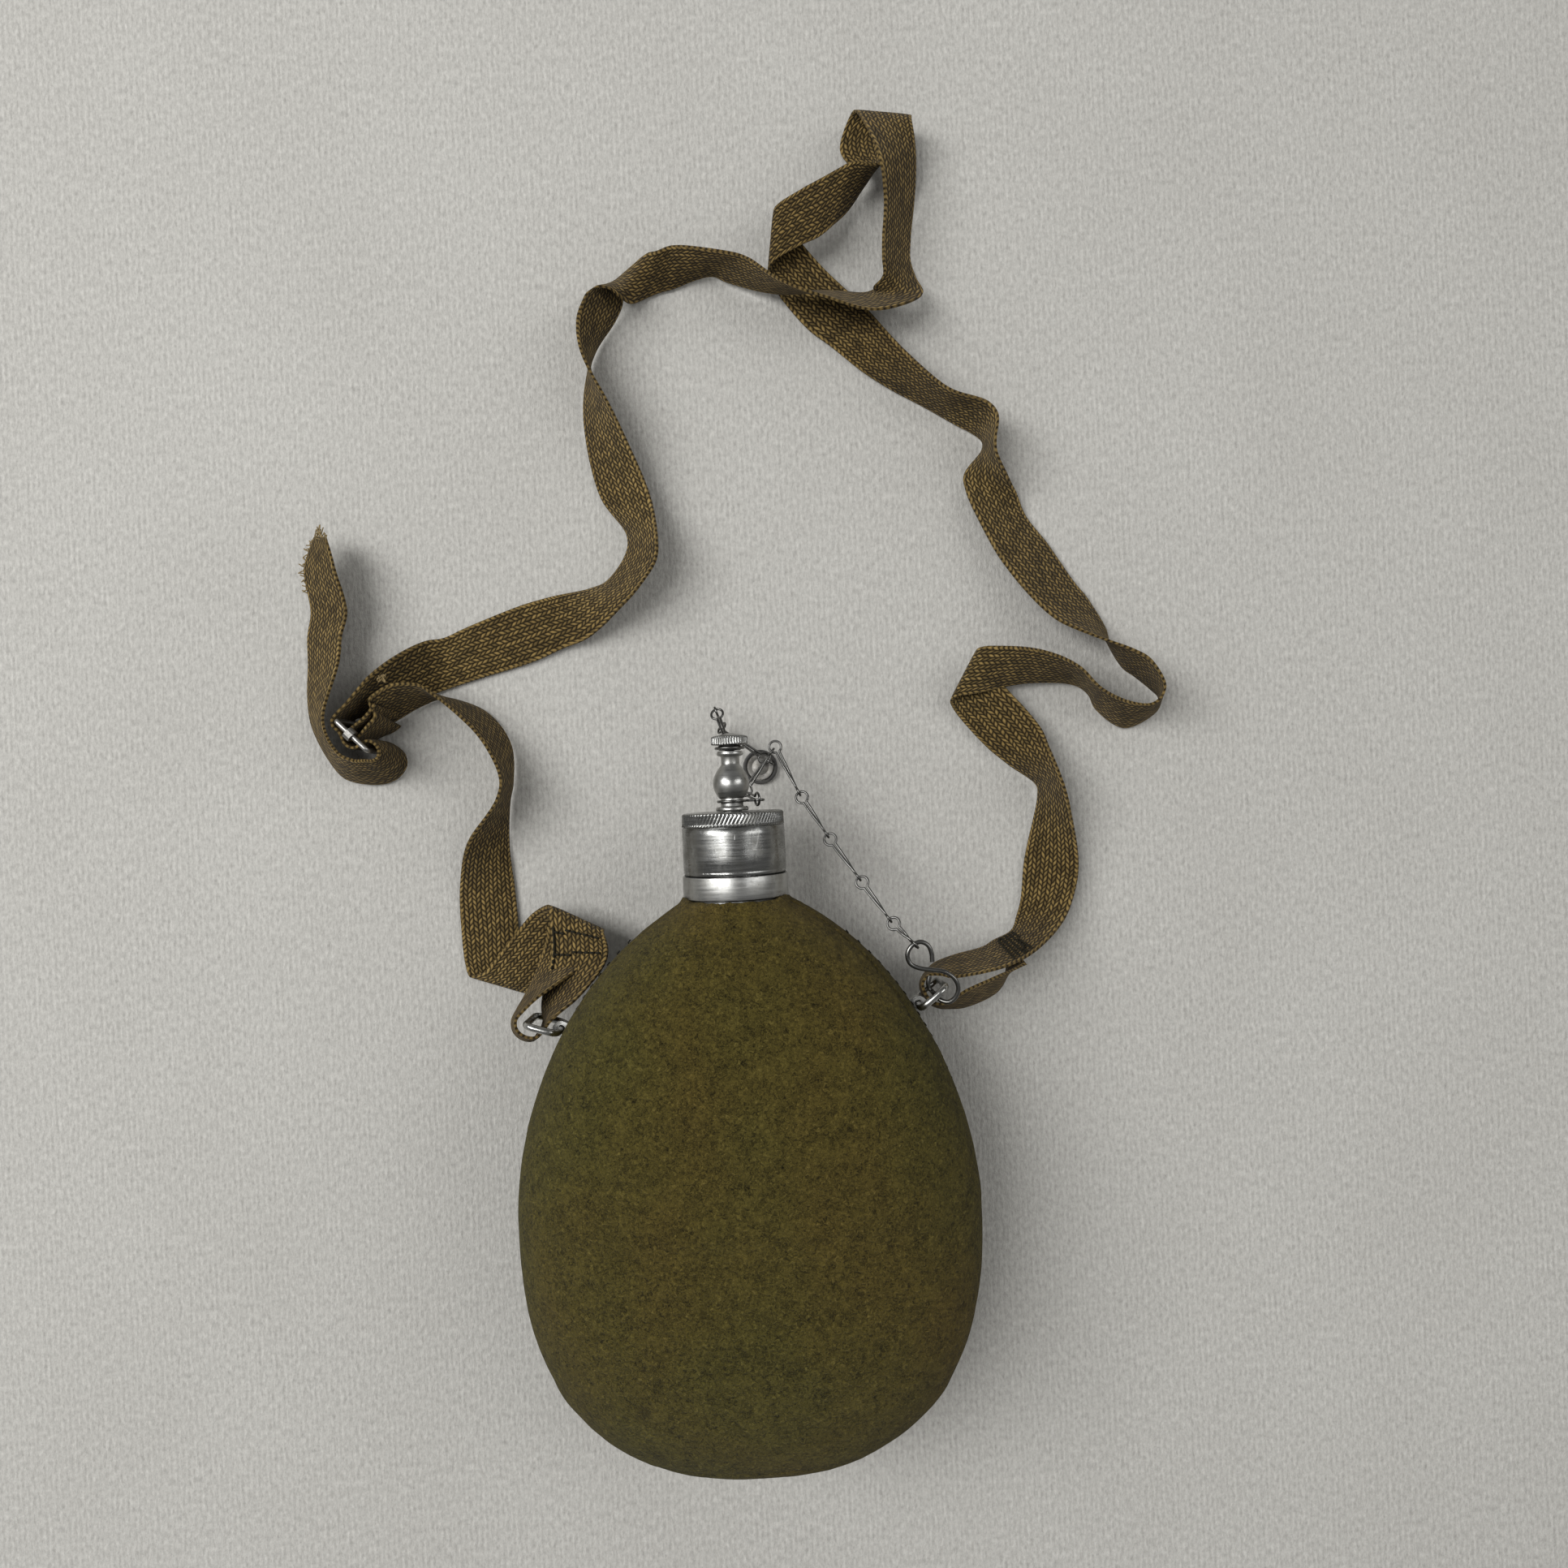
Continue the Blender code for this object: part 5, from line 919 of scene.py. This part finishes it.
def lathe(name, node, profile, segments, finish, body, cut=None, solid_to_axis=False):
    """A turned piece round the neck's axis from (radius, y) points, its radius changed where it is cut."""
    points = []
    rows = []
    for radius, y in profile:
        if radius == 0.0:
            rows.append([len(points)] * segments)
            points.append((0.0, y, AXIS_Z))
            continue
        row = []
        for i in range(segments):
            angle = 2.0 * math.pi * i / segments
            r = cut(radius, y, angle) if cut else radius
            row.append(len(points))
            points.append((r * math.sin(angle), y, AXIS_Z + r * math.cos(angle)))
        rows.append(row)
    faces = []
    for k in range(len(rows) - 1 if solid_to_axis else len(rows)):
        a = rows[k]
        b = rows[(k + 1) % len(rows)]
        for i in range(segments):
            j = (i + 1) % segments
            face = []
            for index in (a[i], a[j], b[j], b[i]):
                if index not in face:
                    face.append(index)
            if len(face) > 2:
                faces.append(face)
    made = piece(name, points, faces, finish, body, 50.0)
    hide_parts(node)
    return made


def thread_cut(first, outward):
    """The ridge of a thread, right-handed, fading in and out at its ends."""
    root = THREAD_ROOT if outward else CAP_BORE

    def cut(radius, y, angle):
        if abs(radius - root) > 0.01:
            return radius
        turn = (y - first) / THREAD_PITCH - angle / (2.0 * math.pi)
        nearest = round(turn)
        along = nearest + angle / (2.0 * math.pi)
        if along < 0.0 or along > THREAD_TURNS:
            return radius
        ease = min(1.0, along * 5.0, (THREAD_TURNS - along) * 5.0)
        off = abs(turn - nearest) * THREAD_PITCH
        flank = (THREAD_FOOT - off) / (THREAD_FOOT - THREAD_CREST)
        height = THREAD_DEPTH * ease * min(1.0, max(0.0, flank))
        return radius + height if outward else radius - height
    return cut


TURNED_GREY = (0.295, 0.297, 0.289)
TURNED_BRIGHT = (0.43, 0.43, 0.415)
turned_aluminium = bare_metal("turned_aluminium", TURNED_GREY, 0.23, (70.0, 1500.0, 70.0), 1.3, 0.6)
turned_collar = bare_metal("turned_collar", TURNED_BRIGHT, 0.32, (60.0, 1200.0, 60.0), 1.4, 0.45)
collar_profile = softened([
    (12.0, 104.3), (NECK_BORE, 104.3), (NECK_BORE, 98.1), (COLLAR_RADIUS, 98.1), (COLLAR_RADIUS, 105.2),
], 0.35)
collar_profile.append((THREAD_ROOT, 105.2))
collar_profile += [(THREAD_ROOT, 105.6 + 0.25 * k) for k in range(60)]
collar_profile += softened([(THREAD_ROOT, 121.0), (12.0, 121.0)], 0.3)
lathe("collar", "neck_collar", collar_profile, 96, turned_collar, "flask",
      thread_cut(110.0, True))


# Screw cap: a turned aluminium cup. Its top edge is coined in slanting teeth for grip, its side is plain
# and scratched, and its thread runs on the collar's.
CAP_RADIUS = 16.3
CAP_TOP_Y = 125.0
COIN_LOW = 120.7
COIN_TEETH = 84
COIN_DEPTH = 0.5
COIN_SLANT = 2.8


def coined(radius, y, angle):
    """Slanting teeth cut round the cap's top edge, and the thread inside it."""
    if COIN_LOW < y < CAP_TOP_Y - 0.2 and radius > CAP_RADIUS - 0.8:
        ease = min(1.0, (y - COIN_LOW) / 0.5, (CAP_TOP_Y - 0.2 - y) / 0.6)
        phase = COIN_TEETH * angle - COIN_SLANT * (y - COIN_LOW)
        return radius - COIN_DEPTH * ease * abs(math.sin(phase / 2.0)) ** 0.8
    return cap_thread(radius, y, angle)


cap_thread = thread_cut(111.5, False)
cap_profile = [(CAP_BORE, 107.0)] + softened([(CAP_BORE, 105.5), (CAP_RADIUS, 105.5)], 0.35)
cap_profile += [(CAP_RADIUS, 106.3), (CAP_RADIUS - 0.12, 106.55), (CAP_RADIUS - 0.12, 106.8)]
cap_profile += [(CAP_RADIUS, y) for y in (107.05, 112.0, 118.0, 120.2)] + [(CAP_RADIUS - 0.25, 120.45)]
cap_profile += [(CAP_RADIUS, COIN_LOW + 0.35 * k) for k in range(11)]
cap_profile += [(CAP_RADIUS - 0.2, 124.5), (CAP_RADIUS - 0.55, 124.8), (CAP_RADIUS - 1.0, 124.95)]
cap_profile += [(CAP_RADIUS - 1.6, CAP_TOP_Y), (9.0, CAP_TOP_Y)]
cap_profile += softened([(3.3, CAP_TOP_Y), (3.3, 122.5), (CAP_BORE, 122.5)], 0.2)
cap_profile += [(CAP_BORE, 120.5 - 0.25 * k) for k in range(54)]
lathe("screw_cap", "cap", cap_profile, COIN_TEETH * 6, turned_aluminium, "cap", coined)


# Seal: a flat ring punched from grey-black rubber sheet, pressed up into the cap's roof. It is hidden while
# the cap is on.
def seal_rubber():
    """Dull black rubber with a grey bloom."""
    made, tree, shader, where = new_finish("seal_rubber", (0.03, 0.028, 0.025), 0.65)
    bloom = grain(tree, where, (300.0,) * 3, 4.0, 0.6)
    base = blend_colours(tree, spread(tree, bloom, 0.35, 0.7), (0.018, 0.017, 0.016, 1.0),
                         (0.05, 0.047, 0.042, 1.0))
    tree.links.new(base, shader.inputs["Base Color"])
    tree.links.new(spread(tree, bloom, 0.3, 0.7, 0.5, 0.75), shader.inputs["Roughness"])
    raise_grain(tree, shader, bloom, 0.3, 0.0002)
    return made


rubber = seal_rubber()
seal_outside = CAP_BORE - 0.3
seal_profile = softened([(12.0, 121.3), (seal_outside, 121.3), (seal_outside, 122.2), (12.0, 122.2)], 0.2)
lathe("cap_washer", "cap_seal", seal_profile, 72, rubber, "cap")


# Drinking spout: a small turned bulb on a stem, clamped through the cap's top and bored for drinking.
# Spout plug: a coined screw with a domed top that stops it, its stem down the bore.
SPOUT_BULB_RADIUS = 5.8
BULB_LOW_Y = 129.3
BULB_HIGH_Y = 139.0
PLUG_TEETH = 44
PLUG_TOOTH_DEPTH = 0.26
PLUG_COIN_LOW = 146.35
PLUG_COIN_HIGH = 148.8
spout_profile = softened([
    (1.4, 121.2), (4.4, 121.2), (4.4, 122.2), (3.0, 122.2), (3.0, 125.3), (5.0, 125.3),
], 0.12)
spout_profile += [(5.2, 125.6), (5.15, 126.2), (4.9, 126.55), (3.75, 126.62), (3.6, 126.8), (3.6, 129.2)]
for k in range(17):
    t = k / 16
    round_in = math.sin(math.pi * (0.235 + 0.56 * t)) ** 0.92
    spout_profile.append((SPOUT_BULB_RADIUS * round_in, BULB_LOW_Y + (BULB_HIGH_Y - BULB_LOW_Y) * t))
spout_profile += [(2.95, 139.9), (2.9, 140.6), (2.9, 142.3), (3.05, 142.55), (3.9, 142.8), (4.15, 143.05)]
spout_profile += [(4.25, 143.4)] + softened([(4.15, 144.2), (1.85, 144.2)], 0.2)
spout_profile += [(1.85, 136.0), (1.4, 135.4)]
lathe("drinking_spout", "spout", spout_profile, 64, turned_collar, "cap")


def plug_coined(radius, y, angle):
    """Straight teeth cut round the plug's disc."""
    if PLUG_COIN_LOW < y < PLUG_COIN_HIGH and radius > 5.6:
        ease = min(1.0, (y - PLUG_COIN_LOW + 0.05) / 0.4, (PLUG_COIN_HIGH + 0.1 - y) / 0.4)
        return radius - PLUG_TOOTH_DEPTH * ease * abs(math.sin(PLUG_TEETH * angle / 2.0)) ** 0.8
    return radius


plug_profile = [(0.0, 136.9), (1.25, 136.9), (1.55, 137.2), (1.55, 144.4), (1.65, 144.5), (3.45, 144.5)]
plug_profile += [(3.6, 144.65), (3.6, 146.1), (3.7, 146.2), (5.4, 146.2), (5.7, PLUG_COIN_LOW)]
plug_profile += [(5.8, 146.5 + 0.26 * k) for k in range(9)] + [(5.7, PLUG_COIN_HIGH), (5.35, 149.05)]
plug_profile += [(4.9, 149.15), (3.9, 149.3), (2.6, 149.62), (1.3, 149.9), (0.0, 150.0)]
lathe("spout_screw_plug", "spout_plug", plug_profile, PLUG_TEETH * 6, turned_aluminium, "spout_plug",
      plug_coined, True)


# Ring on the spout and ring under the plug: each is one bright steel wire, bent into a big eye round the
# turned stem and a small tail eye that holds the end of a chain.
RING_WIRE = 0.43
CHAIN_WIRE = 0.4
EYE_RADIUS = 2.0
HAIRPIN_RADIUS = 1.45
SHANK_SPREAD = 0.55
SHANK_CLEAR = 0.6
WIRE_STEP = 0.35
HOOK_REACH = 0.55
RING_RADIUS = 4.4
TAIL_RADIUS = 1.5
X_AXIS = (1.0, 0.0, 0.0)
Y_AXIS = (0.0, 1.0, 0.0)
bright_wire = bare_metal("bright_wire", (0.165, 0.163, 0.155), 0.27, (90.0, 90.0, 90.0), 0.1, 0.15)


def round_eye(centre, run, side, radius, start, steps):
    """Nearly a full turn of wire round an eye, open by the spread of its shanks."""
    gap = math.asin(SHANK_SPREAD / radius)
    line = []
    for i in range(steps + 1):
        turn = start + gap + (2.0 * math.pi - 2.0 * gap) * i / steps
        line.append(centre + run * radius * math.cos(turn) + side * radius * math.sin(turn))
    return line


def eye_loop(a, b, side_a, side_b, radius_a, radius_b, reach_a, reach_b):
    """Centre line of a wire link: an eye hooking at a, twin shanks, and an eye hooking at b."""
    a = Vector(a)
    b = Vector(b)
    run = (b - a).normalized()
    length = (b - a).length
    side_a = Vector(side_a)
    side_a = (side_a - run * side_a.dot(run)).normalized()
    side_b = Vector(side_b)
    side_b = (side_b - run * side_b.dot(run)).normalized()
    if side_a.dot(side_b) < -0.2:
        side_b = -side_b
    eye_a = round_eye(a + run * (radius_a - reach_a), run, side_a, radius_a, 0.0, 24)
    eye_b = round_eye(a + run * (length - radius_b + reach_b), run, side_b, radius_b, -math.pi, 18)
    from_a = 2.0 * radius_a - reach_a + SHANK_CLEAR
    to_b = length - (2.0 * radius_b - reach_b) - SHANK_CLEAR
    shanks = []
    for hand, steps in ((-1.0, (0.0, 0.5, 1.0)), (1.0, (1.0, 0.5, 0.0))):
        shank = []
        for s in steps:
            middle = a + run * (from_a + (to_b - from_a) * s)
            shank.append(middle + side_a.slerp(side_b, s) * hand * SHANK_SPREAD)
        shanks.append(shank)
    return spline(eye_a + shanks[0] + eye_b + shanks[1], WIRE_STEP, True)


def ring_with_tail(name, node, y, tail, body):
    """A ring round the neck's axis at y, its tail eye standing off round a point."""
    centre = Vector((0.0, y, AXIS_Z))
    to_tail = (Vector(tail) - centre).normalized()
    across = to_tail.cross(Vector(Y_AXIS))
    start = centre - to_tail * RING_RADIUS
    end = Vector(tail) + to_tail * TAIL_RADIUS
    line = eye_loop(start, end, across, across, RING_RADIUS, TAIL_RADIUS, 0.0, 0.0)
    wire(name, node, line, RING_WIRE, bright_wire, body)


ring_with_tail("spout_ring", "cap_ring", 128.3, (8.5, 128.3, 34.65), "cap_ring")
ring_with_tail("plug_wire_ring", "plug_ring", 145.2, (-0.3, 145.2, 30.5), "plug_ring")


# Cap chain: seven links of bright steel wire, each a round eye and a hairpin on twin shanks, from the
# S-hook to the spout's ring. Plug chain: three more, from the plug's ring down to the disc.
def flat_side(a, b):
    """Level direction at right angles to a run."""
    return (Vector(b) - Vector(a)).cross(Vector((0.0, 0.0, 1.0))).normalized()


def steep_side(a, b):
    """Upright direction at right angles to a run."""
    run = (Vector(b) - Vector(a)).normalized()
    return flat_side(a, b).cross(run).normalized()


def crossing(a, b, wire_side):
    """Side of an eye whose plane is crossed square by a wire lying along wire_side."""
    return (Vector(b) - Vector(a)).normalized().cross(Vector(wire_side)).normalized()


def chain_link(node, far, near, far_side, near_side, near_reach=HOOK_REACH):
    """One link of a chain: its eye at the far end, its hairpin hooked in the piece at the near end."""
    line = eye_loop(far, near, far_side, near_side, EYE_RADIUS, HAIRPIN_RADIUS, HOOK_REACH, near_reach)
    wire("wire_" + node, node, line, CHAIN_WIRE, bright_wire, node, 10)


HOOK_BEND_SIDE = (0.94, 0.35, 0.0)
CHAIN_JOINTS = (
    (55.88, 80.49, 43.6), (48.5, 88.3, 39.0), (39.7, 101.4, 33.0), (30.3, 115.4, 27.0), (21.8, 129.5, 22.0),
)
CHAIN_RUNS = [(far, near) for near, far in zip(CHAIN_JOINTS, CHAIN_JOINTS[1:])]
CHAIN_RUNS += [((13.8, 146.8, 18.8), CHAIN_JOINTS[4]), ((3.1, 130.4, 19.0), (13.6, 144.5, 19.0))]
first_far, first_near = CHAIN_RUNS[0]
chain_link("chain_link_1", first_far, first_near, flat_side(first_far, first_near),
           crossing(first_far, first_near, HOOK_BEND_SIDE), 0.7)
for number, (far, near) in enumerate(CHAIN_RUNS[1:], 2):
    chain_link("chain_link_%d" % number, far, near, flat_side(far, near), steep_side(far, near))
chain_link("chain_link_7", (8.5, 128.3, 33.7), (2.1, 131.5, 18.45), Y_AXIS, X_AXIS)

PLUG_TAIL = (-0.3, 145.2, 29.6)
PLUG_CHAIN_EYE = (-4.7, 158.3, 20.7)
PLUG_CHAIN_LOW = (-3.6, 152.7, 5.7)
DISC_HOOK = (11.6, 141.4, 3.9)
EYE_SIDE = (0.94, 0.34, 0.0)
chain_link("plug_link_1", PLUG_CHAIN_EYE, PLUG_TAIL, EYE_SIDE,
           crossing(PLUG_CHAIN_EYE, PLUG_TAIL, X_AXIS), 0.95)
chain_link("plug_link_2", PLUG_CHAIN_LOW, PLUG_CHAIN_EYE, (0.566, 0.824, 0.0),
           crossing(PLUG_CHAIN_LOW, PLUG_CHAIN_EYE, EYE_SIDE), 0.75)
chain_link("plug_link_3", DISC_HOOK, PLUG_CHAIN_LOW, flat_side(DISC_HOOK, PLUG_CHAIN_LOW),
           steep_side(DISC_HOOK, PLUG_CHAIN_LOW), 0.8)


# S-hook: a thicker steel wire, bent by hand and open at both ends. Its low hook is under the right shoulder
# link's top bar, and its high hook holds the first link of the cap chain.
S_HOOK_WIRE = 0.72
S_HOOK_LINE = (
    (59.77, 70.59, 41.6), (59.27, 68.19, 41.4), (59.67, 66.59, 40.4), (60.67, 65.29, 38.6),
    (61.77, 63.99, 38.0), (63.17, 62.39, 38.4), (65.77, 61.79, 39.8), (67.87, 63.59, 41.0),
    (68.67, 66.59, 41.8), (67.47, 69.59, 42.2), (64.57, 71.79, 42.4), (60.77, 72.59, 42.6),
    (56.37, 73.49, 42.8), (53.77, 74.99, 43.0), (52.97, 77.79, 43.2), (54.37, 80.49, 43.3),
    (57.17, 81.69, 43.2), (59.47, 80.59, 43.0), (60.57, 78.19, 42.8), (60.77, 75.19, 42.6),
)
wire("bent_s_hook", "s_hook", spline(S_HOOK_LINE, 0.6), S_HOOK_WIRE, bright_wire, "s_hook",
     12, False)


# Disc at the plug chain's end: a worn steel plate turned with a shallow ring, pressed into a black rubber
# rim. A wire eye on top holds the last link of the plug chain.
DISC_CENTRE = Vector((8.8, 139.3, 0.0))
DISC_SEGMENTS = 64
EYE_SET_BACK = 0.75


def disc(name, node, profile, finish):
    """Revolve (radius, z) points about the disc's own upright axis."""
    points = []
    for radius, z in profile:
        for i in range(DISC_SEGMENTS):
            angle = 2.0 * math.pi * i / DISC_SEGMENTS
            points.append(DISC_CENTRE + Vector((radius * math.cos(angle), radius * math.sin(angle), z)))
    faces = []
    for k in range(len(profile)):
        low = k * DISC_SEGMENTS
        high = (k + 1) % len(profile) * DISC_SEGMENTS
        for i in range(DISC_SEGMENTS):
            j = (i + 1) % DISC_SEGMENTS
            faces.append((low + i, low + j, high + j, high + i))
    made = piece(name, points, faces, finish, "disc", 40.0)
    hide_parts(node)


worn_steel = bare_metal("worn_steel", (0.30, 0.29, 0.27), 0.50, (500.0, 500.0, 500.0), 0.6, 0.8)
rim_profile = softened([(4.9, 0.3), (6.0, 0.3), (6.0, 1.3), (4.9, 1.3)], 0.3)
disc("disc_black_rim", "disc_rim", rim_profile, rubber)
plate_profile = [(0.05, 0.4), (4.45, 0.4), (4.6, 0.55), (4.6, 1.15), (4.45, 1.3), (3.2, 1.3), (3.05, 1.2)]
plate_profile += [(2.7, 1.2), (2.55, 1.3), (0.05, 1.3)]
disc("disc_plate", "disc_face", plate_profile, worn_steel)
eye_run = Vector((DISC_HOOK[0] - PLUG_CHAIN_LOW[0], DISC_HOOK[1] - PLUG_CHAIN_LOW[1], 0.0)).normalized()
eye_middle = Vector((DISC_HOOK[0], DISC_HOOK[1], 0.0)) + eye_run * EYE_SET_BACK
staple = []
for along, z in ((-1.4, 2.0), (-1.4, 4.2), (-0.9, 4.95), (0.0, 5.2),
                 (0.9, 4.95), (1.4, 4.2), (1.4, 2.0), (0.0, 2.0)):
    staple.append(eye_middle + eye_run * along + UP * z)
wire("disc_wire_eye", "disc_eye", staple, CHAIN_WIRE, bright_wire, "disc", 10)


# Buckle: a bent steel wire frame standing on its side in the tape, and a bar across it with a curled
# collar round each rail. The bar stays as the solid of the bench drawing.
BUCKLE_CENTRE = Vector((-125.1, 155.35, 0.0))
BUCKLE_ALONG = Vector((0.692, -0.722, 0.0))
BUCKLE_REACH = 7.05
BUCKLE_LOW = 0.95
BUCKLE_HIGH = 23.1
BUCKLE_CORNER = 1.2
BUCKLE_WIRE = 0.92
outline = bent_frame(BUCKLE_CENTRE, BUCKLE_ALONG, BUCKLE_REACH, -BUCKLE_REACH, BUCKLE_HIGH, BUCKLE_LOW,
                     BUCKLE_CORNER, 6)
buckle_steel = bare_metal("buckle_steel", (0.46, 0.45, 0.43), 0.34, (400.0, 400.0, 400.0), 0.6, 0.7)
buckle = wire("buckle_wire_frame", "buckle_frame", outline, BUCKLE_WIRE, buckle_steel, "flask",
              14)
keep("buckle_bar", buckle_steel)
